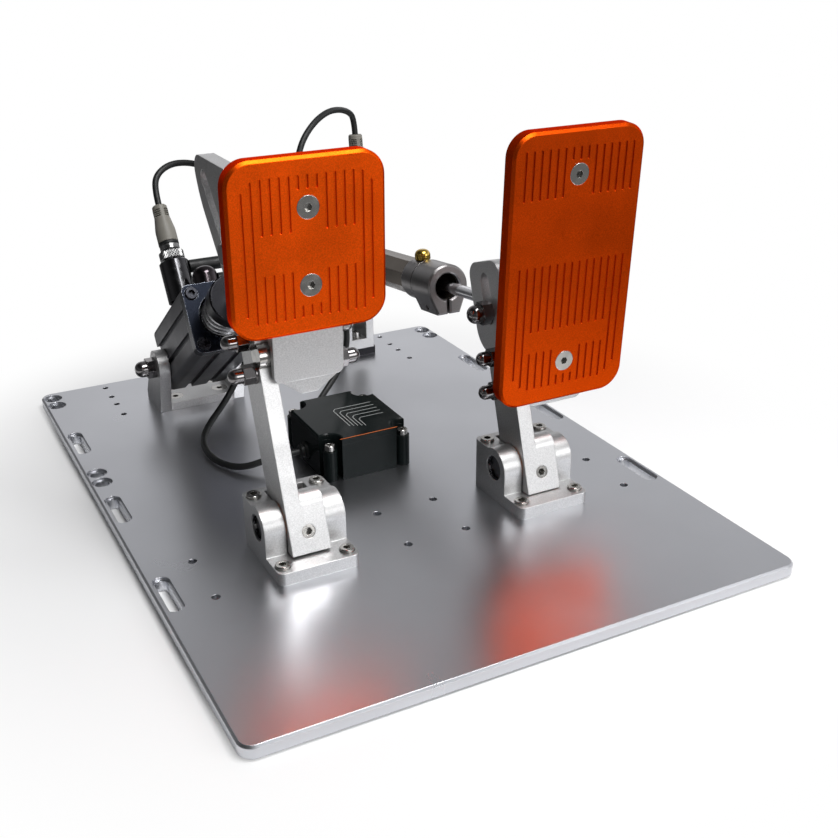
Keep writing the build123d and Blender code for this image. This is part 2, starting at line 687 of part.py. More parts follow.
def brake_bar(plane):
    """Brake bar: straight, then swept back to a tall head with a slanted slot."""
    top_rear_u = BRAKE_TOP_FRONT_U + (BRAKE_HEAD_REAR_V - ARM_FRONT_V) * tan(radians(BRAKE_LEAN))
    top = (BRAKE_SLOT_TOP_V, BRAKE_SLOT_TOP_U)
    middle = ((top[0] + BRAKE_SLOT_BOTTOM_V) / 2, (top[1] + BRAKE_SLOT_BOTTOM_U) / 2)
    with BuildSketch(plane) as outline:
        with BuildLine():
            Polyline(
                (BAR_REAR_V, BRAKE_HEAD_START_U), (BAR_REAR_V, 0), (ARM_FRONT_V, 0),
                (ARM_FRONT_V, BRAKE_TOP_FRONT_U), (BRAKE_HEAD_REAR_V, top_rear_u),
                (BRAKE_HEAD_REAR_V, BRAKE_HEAD_REAR_U),
            )
            TangentArc(
                (BRAKE_HEAD_REAR_V, BRAKE_HEAD_REAR_U), (BRAKE_HEAD_FLANK_V, BRAKE_HEAD_FLANK_U),
                tangent=(0, -1),
            )
            Line((BRAKE_HEAD_FLANK_V, BRAKE_HEAD_FLANK_U), (BRAKE_HEAD_ARC_V, BRAKE_HEAD_ARC_U))
            TangentArc(
                (BAR_REAR_V, BRAKE_HEAD_START_U), (BRAKE_HEAD_ARC_V, BRAKE_HEAD_ARC_U), tangent=(0, 1)
            )
        make_face()
        fillet(outline.vertices().sort_by(Axis.Y)[-1], BRAKE_TOP_CORNER)
        SlotCenterPoint(middle, top, BRAKE_SLOT_WIDTH, mode=Mode.SUBTRACT)
    return outline.sketch


def throttle_bar(plane):
    """Throttle bar: straight, with a round-backed head and an upright slot."""
    top = (THROTTLE_SLOT_V, THROTTLE_SLOT_TOP_U)
    middle = (THROTTLE_SLOT_V, (THROTTLE_SLOT_TOP_U + THROTTLE_SLOT_BOTTOM_U) / 2)
    with BuildSketch(plane) as outline:
        with BuildLine():
            Polyline(
                (BAR_REAR_V, THROTTLE_HEAD_NECK_U), (BAR_REAR_V, 0), (ARM_FRONT_V, 0),
                (ARM_FRONT_V, THROTTLE_HEAD_TOP_U), (THROTTLE_HEAD_REAR_V, THROTTLE_HEAD_TOP_U),
                (THROTTLE_HEAD_REAR_V, THROTTLE_HEAD_LOW_U),
            )
            TangentArc(
                (THROTTLE_HEAD_REAR_V, THROTTLE_HEAD_LOW_U), (BAR_REAR_V, THROTTLE_HEAD_NECK_U),
                tangent=(0, -1),
            )
        make_face()
        fillet(outline.vertices().group_by(Axis.Y)[-1], THROTTLE_HEAD_CORNER)
        SlotCenterPoint(middle, top, BRAKE_SLOT_WIDTH, mode=Mode.SUBTRACT)
    return outline.sketch


def make_arm(name, lean, centre, bar, bolts, bushes):
    """Pedal arm: a plate bar and its wider hub, cut as one piece."""
    left = centre - HUB_WIDTH / 2
    with BuildPart() as arm:
        with BuildSketch(arm_plane(lean, left)):
            Circle(HUB_RADIUS)
            with Locations((ARM_FRONT_V + HUB_TOP_ROUND, HUB_TOP_U - HUB_TOP_ROUND)):
                Circle(HUB_TOP_ROUND)
            with Locations((ARM_FRONT_V, HUB_BOTTOM_U)):
                Rectangle(HUB_HEEL, HUB_HEEL, align=(Align.MIN, Align.MIN))
            make_hull()
        extrude(amount=HUB_WIDTH)
        extrude(bar(arm_plane(lean, left)), amount=ARM_THICKNESS)
        with BuildSketch(arm_plane(lean, left)):
            Circle(AXLE_DIAMETER / 2 + RUNNING_FIT)
            with Locations(*[(v, u) for u, v in bolts]):
                Circle(CROSS_BOLT / 2 + CROSS_BOLT_FIT)
            for u, v in bushes:
                with Locations((v, u)):
                    Circle(PAD_BUSH_DIAMETER / 2 + RUNNING_FIT)
        extrude(amount=HUB_WIDTH, mode=Mode.SUBTRACT)
        with BuildSketch(grub_plane(lean, centre)):
            Circle(GRUB_DIAMETER / 2 + RUNNING_FIT)
        extrude(amount=-grub_depth, mode=Mode.SUBTRACT)
    finish(arm.part, name)


def grub_plane(lean, centre):
    middle = arm_plane(lean, centre)
    return Plane(
        origin=middle.from_local_coords((ARM_FRONT_V, GRUB_U, 0)), x_dir=ARM_AXIS, z_dir=-middle.x_dir
    )


def grub_screw(lean, centre):
    face = grub_plane(lean, centre).offset(-GRUB_INSET)
    with BuildPart() as grub:
        with BuildSketch(face):
            Circle(GRUB_DIAMETER / 2)
        extrude(amount=GRUB_INSET - grub_depth)
        with BuildSketch(face):
            RegularPolygon(GRUB_KEY / 2, HEX_SIDES, major_radius=False)
        extrude(amount=-GRUB_KEY, mode=Mode.SUBTRACT)
    return grub.part


brake_left = -PIVOT_X - HUB_WIDTH / 2
brake_right = brake_left + ARM_THICKNESS
throttle_left = PIVOT_X - HUB_WIDTH / 2
throttle_right = throttle_left + ARM_THICKNESS
make_arm("brake_arm", BRAKE_LEAN, -PIVOT_X, brake_bar, brake_bolts, [(PAD_BUSH_U, PAD_BUSH_V)])
make_arm("throttle_arm", THROTTLE_LEAN, PIVOT_X, throttle_bar, throttle_bolts, [])


# Axles, flanged bushes and retaining rings of the two pivots
def make_pivot(name, centre):
    reach = BRACKET_WIDTH / 2
    axle = round_bar(
        side_plane(centre - reach + AXLE_END_INSET, PIVOT_Y, PIVOT_Z, 1),
        AXLE_DIAMETER / 2, 2 * (reach - AXLE_END_INSET),
    )
    finish(axle, f"{name}_axle")
    for side in (-1, 1):
        with BuildPart() as bush:
            with BuildSketch(side_plane(centre + side * EAR_GAP / 2, PIVOT_Y, PIVOT_Z, side)):
                Circle(PIVOT_BORE / 2 - RUNNING_FIT)
                Circle(AXLE_DIAMETER / 2 + RUNNING_FIT, mode=Mode.SUBTRACT)
            extrude(amount=reach - EAR_GAP / 2 - AXLE_END_INSET)
            with BuildSketch(side_plane(centre + side * EAR_GAP / 2, PIVOT_Y, PIVOT_Z, -side)):
                Circle(BUSH_FLANGE / 2)
                Circle(AXLE_DIAMETER / 2 + RUNNING_FIT, mode=Mode.SUBTRACT)
            extrude(amount=BUSH_FLANGE_THICKNESS)
        bushes.append(bush.part)
        inner = side_plane(centre + side * (reach - RING_INSET - RING_THICKNESS), PIVOT_Y, PIVOT_Z, side)
        ring_radius = PIVOT_BORE / 2 + RING_GROOVE_DEPTH - RUNNING_FIT
        rings.append(ring_part(inner, ring_radius, RING_OPENING / 2, RING_THICKNESS))


bushes = []
rings = []
make_pivot("brake", -PIVOT_X)
make_pivot("throttle", PIVOT_X)
finish(Compound(children=bushes), "pivot_bushes")
finish(Compound(children=rings), "retaining_rings")


# Pads: the groove tables hold column numbers from the middle outwards, and
# the lower and upper ends of each groove as shares of the pad's height.
BRAKE_GROOVE_SHARES = [
    ((7,), -0.355, 0.335), ((6,), -0.405, 0.39), ((2, 3, 4, 5), 0.09, 0.4),
    ((2, 3, 4, 5), -0.405, -0.13), ((0, 1), 0.32, 0.4), ((0, 1), -0.4, -0.33),
]
THROTTLE_GROOVE_SHARES = [
    ((2, 3, 4, 5, 6, 7), 0.27, 0.44), ((0, 1), 0.395, 0.44), ((0, 1, 2, 3, 4, 5), -0.21, 0.035),
    ((6,), -0.42, 0.035), ((7,), -0.385, 0.035), ((2, 3, 4, 5), -0.435, -0.29), ((0, 1), -0.435, -0.395),
]


def pad_plane(x, back_y, rise, tilt):
    # The back of the pad; local y is up, and the normal points at the driver.
    lean = radians(tilt)
    return Plane(origin=(x, back_y, TOP + rise), x_dir=(1, 0, 0), z_dir=(0, -cos(lean), -sin(lean)))


def make_pad(name, back, width, height, screw_pitch, groove_shares, hub_screw):
    with BuildPart() as pad:
        with BuildSketch(back):
            RectangleRounded(width, height, PAD_CORNER)
        extrude(amount=PAD_THICKNESS)
        front = pad.faces().sort_by(Axis(back.origin, back.z_dir))[-1]
        chamfer(front.edges(), PAD_RIM_CHAMFER)
        with BuildSketch(back.offset(PAD_THICKNESS)):
            for columns, low, high in groove_shares:
                for column in columns:
                    for side in (-1, 1) if column else (1,):
                        with Locations((side * column * GROOVE_PITCH, height * (low + high) / 2)):
                            SlotOverall(height * (high - low), GROOVE_WIDTH, rotation=90)
        extrude(amount=-GROOVE_DEPTH, mode=Mode.SUBTRACT)
        with Locations(back.offset(PAD_THICKNESS)):
            with Locations((0, screw_pitch / 2), (0, -screw_pitch / 2)):
                CounterSinkHole(PAD_SCREW_THREAD / 2 + RUNNING_FIT, PAD_SCREW_HEAD / 2 + RUNNING_FIT)
    finish(pad.part, f"{name}_pad")
    cone = (PAD_SCREW_HEAD - PAD_SCREW_THREAD) / 2 / tan(radians(COUNTERSINK / 2))
    screws = [hub_screw]
    for side in (-1, 1):
        seat = Plane(
            origin=back.from_local_coords((0, side * screw_pitch / 2, PAD_THICKNESS)),
            x_dir=back.x_dir, z_dir=back.z_dir,
        )
        screws.append(
            sunk_screw(PAD_SCREW_HEAD, cone, PAD_SCREW_THREAD, PAD_SCREW_LENGTH, PAD_SCREW_KEY, seat)
        )
    finish(Compound(children=screws), f"{name}_pedal_screws")


brake_pad_back = pad_plane(BRAKE_PAD_X, BRAKE_PAD_BACK_Y, BRAKE_PAD_RISE, BRAKE_PAD_TILT)
throttle_pad_back = pad_plane(THROTTLE_PAD_X, THROTTLE_PAD_BACK_Y, THROTTLE_PAD_RISE, THROTTLE_PAD_TILT)
make_pad(
    "brake", brake_pad_back, BRAKE_PAD_WIDTH, BRAKE_PAD_HEIGHT, BRAKE_PAD_SCREW_PITCH,
    BRAKE_GROOVE_SHARES, grub_screw(BRAKE_LEAN, -PIVOT_X),
)
make_pad(
    "throttle", throttle_pad_back, THROTTLE_PAD_WIDTH, THROTTLE_PAD_HEIGHT,
    THROTTLE_PAD_SCREW_PITCH, THROTTLE_GROOVE_SHARES, grub_screw(THROTTLE_LEAN, PIVOT_X),
)


# Pad mounts: a plate behind the pad and a block beside the arm
def stud_places(lean, bolts):
    return [arm_point(lean, u, v) for u, v in bolts]


with BuildPart() as brake_mount:
    with BuildSketch(brake_pad_back):
        with Locations((BRAKE_MOUNT_X - BRAKE_PAD_X, (BRAKE_MOUNT_ABOVE - BRAKE_MOUNT_BELOW) / 2)):
            RectangleRounded(BRAKE_MOUNT_WIDTH, BRAKE_MOUNT_ABOVE + BRAKE_MOUNT_BELOW, MOUNT_CORNER)
    extrude(amount=-PAD_MOUNT_PLATE)
    block_right = BRAKE_MOUNT_X + BRAKE_MOUNT_WIDTH / 2
    block_low = TOP + BRAKE_PAD_RISE - BRAKE_MOUNT_BELOW
    rib = BRAKE_RIB_WIDTH / 2
    block_start = BRAKE_PAD_BACK_Y + PAD_MOUNT_PLATE
    with BuildSketch(Plane.XZ.offset(-block_start + OVERRUN)):
        with BuildLine():
            Polyline(
                (brake_right, block_low), (BRAKE_UNIT_X - rib, block_low - BRAKE_BLOCK_DROP),
                (BRAKE_UNIT_X + rib, block_low - BRAKE_BLOCK_DROP), (block_right, block_low),
                (block_right, block_low + BRAKE_BLOCK_HEIGHT), (brake_right, block_low + BRAKE_BLOCK_HEIGHT),
                close=True,
            )
        make_face()
    extrude(amount=-BRAKE_BLOCK_DEPTH)
    with BuildSketch(side_plane(brake_right, 0, 0, 1)):
        with Locations(*stud_places(BRAKE_LEAN, brake_bolts)):
            Circle(CROSS_BOLT / 2 + CROSS_BOLT_FIT)
    extrude(amount=BRAKE_MOUNT_WIDTH, mode=Mode.SUBTRACT)
    with BuildSketch(brake_pad_back):
        with Locations((0, BRAKE_PAD_SCREW_PITCH / 2), (0, -BRAKE_PAD_SCREW_PITCH / 2)):
            Circle(PAD_SCREW_THREAD / 2 + RUNNING_FIT)
    extrude(amount=-PAD_MOUNT_PLATE, mode=Mode.SUBTRACT)
    bush_y, bush_z = arm_point(BRAKE_LEAN, PAD_BUSH_U, PAD_BUSH_V)
    notch = PAD_BUSH_DIAMETER / 2 + SOFT_FIT
    with BuildSketch(side_plane(brake_right, bush_y - notch, bush_z + notch, 1)):
        Rectangle(PAD_BUSH_DIAMETER, BRAKE_MOUNT_BELOW, align=(Align.MIN, Align.MAX))
    extrude(amount=-ARM_THICKNESS, mode=Mode.SUBTRACT)
finish(brake_mount.part, "brake_pad_mount")

throttle_block_right = throttle_right + THROTTLE_MOUNT_WIDTH
throttle_mount_middle = throttle_right + THROTTLE_MOUNT_WIDTH / 2
throttle_mount_lift = (THROTTLE_MOUNT_ABOVE - THROTTLE_MOUNT_BELOW) / 2
with BuildPart() as throttle_mount:
    with BuildSketch(throttle_pad_back):
        with Locations((throttle_mount_middle - THROTTLE_PAD_X, throttle_mount_lift)):
            RectangleRounded(THROTTLE_MOUNT_WIDTH, THROTTLE_MOUNT_ABOVE + THROTTLE_MOUNT_BELOW, MOUNT_CORNER)
    extrude(amount=-PAD_MOUNT_PLATE)
    with BuildSketch(throttle_pad_back.offset(-PAD_MOUNT_PLATE)):
        with Locations((0, throttle_mount_lift)):
            Rectangle(THROTTLE_RIB_WIDTH, THROTTLE_MOUNT_ABOVE + THROTTLE_MOUNT_BELOW - 2 * MOUNT_CORNER)
    extrude(amount=-THROTTLE_RIB_DEPTH)
    with BuildSketch(Plane.YZ.offset(throttle_right)):
        with BuildLine():
            Polyline(
                (THROTTLE_BLOCK_FRONT_Y, TOP + THROTTLE_BLOCK_LOW),
                (THROTTLE_BLOCK_REAR_Y, TOP + THROTTLE_BLOCK_LOW),
                (THROTTLE_BLOCK_REAR_Y, TOP + THROTTLE_BLOCK_HIGH),
                (THROTTLE_BLOCK_FRONT_Y, TOP + THROTTLE_BLOCK_HIGH + THROTTLE_RIB_DEPTH),
                close=True,
            )
        make_face()
    extrude(amount=throttle_block_right - throttle_right)
    with BuildSketch(side_plane(throttle_right, 0, 0, 1)):
        with Locations(*stud_places(THROTTLE_LEAN, throttle_bolts)):
            Circle(CROSS_BOLT / 2 + CROSS_BOLT_FIT)
    extrude(amount=THROTTLE_MOUNT_WIDTH, mode=Mode.SUBTRACT)
    with BuildSketch(throttle_pad_back):
        with Locations((0, THROTTLE_PAD_SCREW_PITCH / 2), (0, -THROTTLE_PAD_SCREW_PITCH / 2)):
            Circle(PAD_SCREW_THREAD / 2 + RUNNING_FIT)
    extrude(amount=-PAD_MOUNT_PLATE - THROTTLE_RIB_DEPTH, mode=Mode.SUBTRACT)
finish(throttle_mount.part, "throttle_pad_mount")

for name, lean, bolts, left, right in (
    ("brake", BRAKE_LEAN, brake_bolts, brake_left, block_right),
    ("throttle", THROTTLE_LEAN, throttle_bolts, throttle_left, throttle_block_right),
):
    studs = []
    for y, z in stud_places(lean, bolts):
        stud, pair = stud_with_nuts(left, right, y, z, CROSS_BOLT / 2)
        studs.extend([stud, *pair])
    finish(Compound(children=studs), f"{name}_mount_studs")

pad_bush = round_bar(
    arm_plane(BRAKE_LEAN, brake_left).shift_origin(
        arm_plane(BRAKE_LEAN, brake_left).from_local_coords((PAD_BUSH_V, PAD_BUSH_U, 0))
    ),
    PAD_BUSH_DIAMETER / 2, ARM_THICKNESS,
)
finish(pad_bush, "pad_angle_bush")


# Rod pivots: bolts, spacers and the rod ends with their balls
def rod_bolt(left, right, y, z):
    """Rod bolt: a low head on the arm's left face and its shank to the right."""
    with BuildPart() as bolt:
        with BuildSketch(side_plane(left, y, z, -1)):
            Circle(ROD_BOLT_HEAD / 2)
        extrude(amount=ROD_BOLT_HEAD_HEIGHT)
        chamfer(bolt.edges().filter_by(GeomType.CIRCLE).sort_by(Axis.X)[0], ROD_BOLT_RIM)
        with BuildSketch(side_plane(left, y, z, 1)):
            Circle(ROD_BOLT / 2)
        extrude(amount=right - left)
    return bolt.part


def ball_part(centre, radius, width, bore):
    """A ball with flat sides and a bore, turned about a line along X."""
    half = width / 2
    edge = sqrt(radius**2 - half**2)
    with BuildPart() as ball:
        with BuildSketch(Plane(origin=centre, x_dir=(1, 0, 0), z_dir=(0, -1, 0))):
            with BuildLine():
                ThreePointArc((-half, edge), (0, radius), (half, edge))
                Polyline((half, edge), (half, bore), (-half, bore), (-half, edge))
            make_face()
        revolve(axis=Axis(centre, (1, 0, 0)))
    return ball.part


def rod_end(line, eye_radius, eye_width, ball, shank, shank_length, rod):
    """Rod end: a ring with a spherical seat on a threaded shank."""
    start = line.rod - eye_radius - shank_length
    centre = line.point(line.rod)
    with BuildPart() as end:
        with BuildSketch(line.across(start)):
            Circle(shank / 2)
        extrude(amount=shank_length + (eye_radius - ball / 2) / 2)
        with BuildSketch(side_plane(line.x - eye_width / 2, *centre[1:], 1)):
            Circle(eye_radius)
        extrude(amount=eye_width)
        with BuildSketch(line.across(start)):
            Circle(rod / 2 + RUNNING_FIT)
        extrude(amount=shank_length, mode=Mode.SUBTRACT)
        with BuildSketch(side_plane(line.x - eye_width / 2, *centre[1:], 1)):
            Circle(rod / 2)
        extrude(amount=eye_width, mode=Mode.SUBTRACT)
        add(ball_part(centre, ball / 2 + RUNNING_FIT, eye_width, rod / 4), mode=Mode.SUBTRACT)
    return end.part


def hex_nut(line, start, flats, height, bore):
    with BuildPart() as nut:
        with BuildSketch(line.across(start)):
            RegularPolygon(flats / 2, HEX_SIDES, major_radius=False)
            Circle(bore / 2 + RUNNING_FIT, mode=Mode.SUBTRACT)
        extrude(amount=height)
    return nut.part


def coil(plane, mean_radius, wire, length, turns):
    """An open coil spring along the plane's normal, one tube on half-turn biarcs."""
    pitch = length / turns
    steps = 2 * turns

    def spot(step):
        angle = pi * step
        return plane.from_local_coords((mean_radius * cos(angle), mean_radius * sin(angle), pitch * step / 2))

    def heading(step):
        angle = pi * step
        local = Vector(-mean_radius * sin(angle), mean_radius * cos(angle), pitch / 2 / pi)
        return (plane.from_local_coords(local) - plane.origin).normalized()

    with BuildPart() as spring:
        with BuildLine() as path:
            for step in range(steps):
                first, last = spot(step), spot(step + 1)
                leave, arrive = heading(step), heading(step + 1)
                gap = last - first
                share = 2 * (1 - leave.dot(arrive))
                lean = 2 * gap.dot(leave + arrive)
                span = (-lean + sqrt(lean**2 + 4 * share * gap.dot(gap))) / 2 / share
                knee = first + leave * span
                hip = last - arrive * span
                middle = (knee + hip) / 2
                TangentArc(first, middle, tangent=leave)
                TangentArc(middle, last, tangent=hip - knee)
        with BuildSketch(Plane(origin=spot(0), z_dir=heading(0))):
            Circle(wire / 2)
        sweep(path=path.wire())
    print("coil: turns", turns, "pitch", round(pitch, 2), "least gap to itself", round(pitch - wire, 2))
    return spring.part


# Brake rod, its end, its spring seat and its spring
brake_shank_start = brake_line.rod - ROD_EYE_RADIUS - ROD_END_SHANK
with BuildPart() as brake_rod:
    with BuildSketch(brake_line.across(PISTON_START)):
        Circle(PISTON_BORE / 2 - RUNNING_FIT)
    extrude(amount=PISTON_LENGTH)
    with BuildSketch(brake_line.across(PISTON_START + PISTON_LENGTH / 2)):
        Circle(PISTON_BORE / 2)
        Circle(PISTON_BORE / 2 - PISTON_SEAL, mode=Mode.SUBTRACT)
    extrude(amount=PISTON_SEAL, mode=Mode.SUBTRACT)
    with BuildSketch(brake_line.across(PISTON_START + PISTON_LENGTH)):
        Circle(ROD_DIAMETER / 2)
    extrude(amount=brake_shank_start + ROD_END_SHANK - PISTON_START - PISTON_LENGTH - RUNNING_FIT)
finish(brake_rod.part, "brake_rod")
piston_seal = ring_part(
    brake_line.across(PISTON_START + PISTON_LENGTH / 2), PISTON_BORE / 2 - RUNNING_FIT,
    PISTON_BORE / 2 - PISTON_SEAL, PISTON_SEAL,
)
finish(piston_seal, "brake_piston_seal")
brake_rod_end = [
    rod_end(
        brake_line, ROD_EYE_RADIUS, ROD_EYE_WIDTH, BALL_DIAMETER, ROD_END_SHANK_DIAMETER,
        ROD_END_SHANK, ROD_DIAMETER,
    ),
    ball_part(
        brake_line.point(brake_line.rod), BALL_DIAMETER / 2, BALL_WIDTH,
        ROD_BOLT / 2 + OPEN_PIVOT_CLEARANCE,
    ),
    hex_nut(brake_line, brake_shank_start - LOCK_NUT_HEIGHT, LOCK_NUT_FLATS, LOCK_NUT_HEIGHT, ROD_DIAMETER),
]
finish(Compound(children=brake_rod_end), "brake_rod_end")
with BuildPart() as spring_seat:
    with BuildSketch(brake_line.across(SPRING_SEAT_BACK)):
        Circle(SPRING_SEAT_DIAMETER / 2)
        Circle(ROD_DIAMETER / 2 + RUNNING_FIT, mode=Mode.SUBTRACT)
    extrude(amount=SPRING_SEAT_LENGTH)
    seat_rims = spring_seat.edges().filter_by(GeomType.CIRCLE).sort_by(SortBy.RADIUS)[-2:]
    chamfer(seat_rims, SPRING_SEAT_RIM)
finish(spring_seat.part, "brake_spring_seat")
spring_start = SPRING_SHOULDER + SPRING_WIRE / 2 + SPRING_END_GAP
brake_spring = coil(
    brake_line.across(spring_start), SPRING_MEAN_DIAMETER / 2, SPRING_WIRE,
    SPRING_SEAT_BACK - SPRING_WIRE / 2 - SPRING_END_GAP - spring_start, SPRING_TURNS,
)
finish(brake_spring, "brake_spring")


def rod_nut(x, y, z):
    with BuildPart() as nut:
        with BuildSketch(side_plane(x, y, z, 1)):
            RegularPolygon(LOCK_NUT_FLATS / 2, HEX_SIDES, major_radius=False)
            Circle(ROD_BOLT / 2 + RUNNING_FIT, mode=Mode.SUBTRACT)
        extrude(amount=ROD_NUT_HEIGHT - SOFT_FIT)
    return nut.part


def rod_spacer(start, end, y, z):
    return ring_part(
        side_plane(start, y, z, 1), SPACER_DIAMETER / 2, ROD_BOLT / 2 + RUNNING_FIT, end - start
    )


ball_right = BRAKE_UNIT_X + BALL_WIDTH / 2
brake_rod_bolt = [
    rod_bolt(brake_left, ball_right + ROD_NUT_HEIGHT, brake_rod_y, brake_rod_z),
    rod_spacer(brake_right, BRAKE_UNIT_X - BALL_WIDTH / 2 - SOFT_FIT, brake_rod_y, brake_rod_z),
    rod_nut(ball_right + SOFT_FIT, brake_rod_y, brake_rod_z),
]
finish(Compound(children=brake_rod_bolt), "brake_rod_bolt")

# Brake housing, its end plate and screws
with BuildPart() as housing:
    with BuildSketch(brake_line.across(-HOUSING_REAR_REACH)):
        RectangleRounded(HOUSING_SIDE, HOUSING_SIDE, HOUSING_CORNER)
        for turn in range(4):
            for side in (-1, 1):
                angle = radians(90 * turn)
                out = HOUSING_SIDE / 2 - HOUSING_GROOVE_DEPTH / 2
                across = side * HOUSING_GROOVE_OFFSET
                place = (out * cos(angle) - across * sin(angle), out * sin(angle) + across * cos(angle))
                with Locations(Location((*place, 0), (0, 0, 90 * turn))):
                    Rectangle(HOUSING_GROOVE_DEPTH, HOUSING_GROOVE_WIDTH, mode=Mode.SUBTRACT)
    extrude(amount=HOUSING_REAR_REACH + HOUSING_FRONT)
    with BuildSketch(brake_line.across(SPRING_SHOULDER)):
        Circle(SPRING_BORE / 2)
    extrude(amount=HOUSING_FRONT - SPRING_SHOULDER, mode=Mode.SUBTRACT)
    with BuildSketch(brake_line.across(PISTON_BORE_FLOOR)):
        Circle(PISTON_BORE / 2)
    extrude(amount=SPRING_SHOULDER - PISTON_BORE_FLOOR, mode=Mode.SUBTRACT)
    pivot_y, pivot_z = BRAKE_REAR_PIVOT_Y, TOP + BRAKE_REAR_PIVOT_RISE
    with BuildSketch(side_plane(BRAKE_UNIT_X - HOUSING_SIDE / 2, pivot_y, pivot_z, 1)):
        Circle(ROD_BOLT / 2 + RUNNING_FIT)
    extrude(amount=HOUSING_SIDE, mode=Mode.SUBTRACT)
    with BuildSketch(brake_line.upright(BRAKE_SENSOR_ALONG, HOUSING_SIDE / 2, BRAKE_SENSOR_X)):
        Circle(SENSOR_THREAD / 2 + RUNNING_FIT)
    extrude(amount=-SENSOR_STUB, mode=Mode.SUBTRACT)
    with BuildSketch(brake_line.upright(FITTING_ALONG, HOUSING_SIDE / 2)):
        Circle(SENSOR_THREAD / 2 + RUNNING_FIT)
    extrude(amount=-FITTING_STUB, mode=Mode.SUBTRACT)
finish(housing.part, "brake_housing")

screw_offset = END_PLATE_SCREW_PITCH / 2
plate_corners = [(x, y) for x in (-screw_offset, screw_offset) for y in (-screw_offset, screw_offset)]
with BuildPart() as end_plate:
    with BuildSketch(brake_line.across(HOUSING_FRONT)):
        RectangleRounded(HOUSING_SIDE, HOUSING_SIDE, HOUSING_CORNER)
        Circle(SPRING_BORE / 2, mode=Mode.SUBTRACT)
    extrude(amount=END_PLATE_THICKNESS)
    with Locations(brake_line.across(HOUSING_FRONT + END_PLATE_THICKNESS)):
        with Locations(*plate_corners):
            CounterBoreHole(
                PLATE_SCREW / 2 + RUNNING_FIT, PLATE_SCREW_HEAD / 2 + CAP_CLEARANCE, PLATE_SCREW_SINK
            )
finish(end_plate.part, "brake_end_plate")
seat_face = HOUSING_FRONT + END_PLATE_THICKNESS - PLATE_SCREW_SINK
end_screws = []
for x, y in plate_corners:
    base = brake_line.across(seat_face)
    spot_plane = Plane(origin=base.from_local_coords((x, y, 0)), x_dir=base.x_dir, z_dir=base.z_dir)
    end_screws.append(
        socket(
            PLATE_SCREW_HEAD / 2, PLATE_SCREW, PLATE_SCREW_KEY, PLATE_SCREW / 2, spot_plane,
            PLATE_SCREW / 2, END_PLATE_THICKNESS - PLATE_SCREW_SINK,
        )
    )
finish(Compound(children=end_screws), "brake_end_plate_screws")

# Brake unit's rear clevis, its foot screws, pivot stud and nuts
cheek_out = BRAKE_CHEEK_GAP / 2 + BRAKE_CHEEK
with BuildPart() as clevis:
    for side in (-1, 1):
        inner = BRAKE_UNIT_X + side * BRAKE_CHEEK_GAP / 2
        with BuildSketch(side_plane(inner, 0, 0, 1)):
            with Locations((pivot_y, pivot_z)):
                Circle(BRAKE_CHEEK_TOP_RADIUS)
            with Locations(((BRAKE_FOOT_FRONT_Y + BRAKE_FOOT_REAR_Y) / 2, TOP)):
                Rectangle(
                    BRAKE_FOOT_REAR_Y - BRAKE_FOOT_FRONT_Y, BRAKE_FOOT_THICKNESS,
                    align=(Align.CENTER, Align.MIN),
                )
            make_hull()
            with Locations((pivot_y, pivot_z)):
                Circle(ROD_BOLT / 2 + RUNNING_FIT, mode=Mode.SUBTRACT)
        extrude(amount=side * BRAKE_CHEEK)
    with BuildSketch(Plane.XY.offset(TOP)):
        with Locations((BRAKE_UNIT_X, (BRAKE_FOOT_FRONT_Y + BRAKE_FOOT_REAR_Y) / 2)):
            Rectangle(2 * cheek_out, BRAKE_FOOT_REAR_Y - BRAKE_FOOT_FRONT_Y)
    extrude(amount=BRAKE_FOOT_THICKNESS)
    with Locations(Plane.XY.offset(TOP + BRAKE_FOOT_THICKNESS)):
        with Locations(*brake_foot_holes):
            CounterSinkHole(FOOT_SCREW / 2 + RUNNING_FIT, FOOT_SCREW_HEAD / 2 + RUNNING_FIT)
finish(clevis.part, "brake_unit_bracket")
foot_cone = (FOOT_SCREW_HEAD - FOOT_SCREW) / 2 / tan(radians(COUNTERSINK / 2))
foot_screws = [
    sunk_screw(
        FOOT_SCREW_HEAD, foot_cone, FOOT_SCREW, BRAKE_FOOT_THICKNESS + PLATE_THICKNESS - OVERRUN,
        FOOT_SCREW_KEY,
        Plane(origin=(x, y, TOP + BRAKE_FOOT_THICKNESS), z_dir=(0, 0, 1)),
    )
    for x, y in brake_foot_holes
]


def pivot_stud(centre, half, y, z):
    thread = NUT_HEX_HEIGHT
    stud = round_bar(side_plane(centre - half - thread, y, z, 1), ROD_BOLT / 2, 2 * (half + thread))
    nuts = [
        acorn_nut(
            side_plane(centre + side * half, y, z, side), PIVOT_NUT_FLATS, NUT_HEX_HEIGHT, NUT_DOME_HEIGHT,
            PIVOT_NUT_DOME, ROD_BOLT / 2 + RUNNING_FIT, NUT_HEX_HEIGHT + RUNNING_FIT,
        )
        for side in (-1, 1)
    ]
    return [stud, *nuts]


pivot_studs = pivot_stud(BRAKE_UNIT_X, cheek_out, pivot_y, pivot_z)


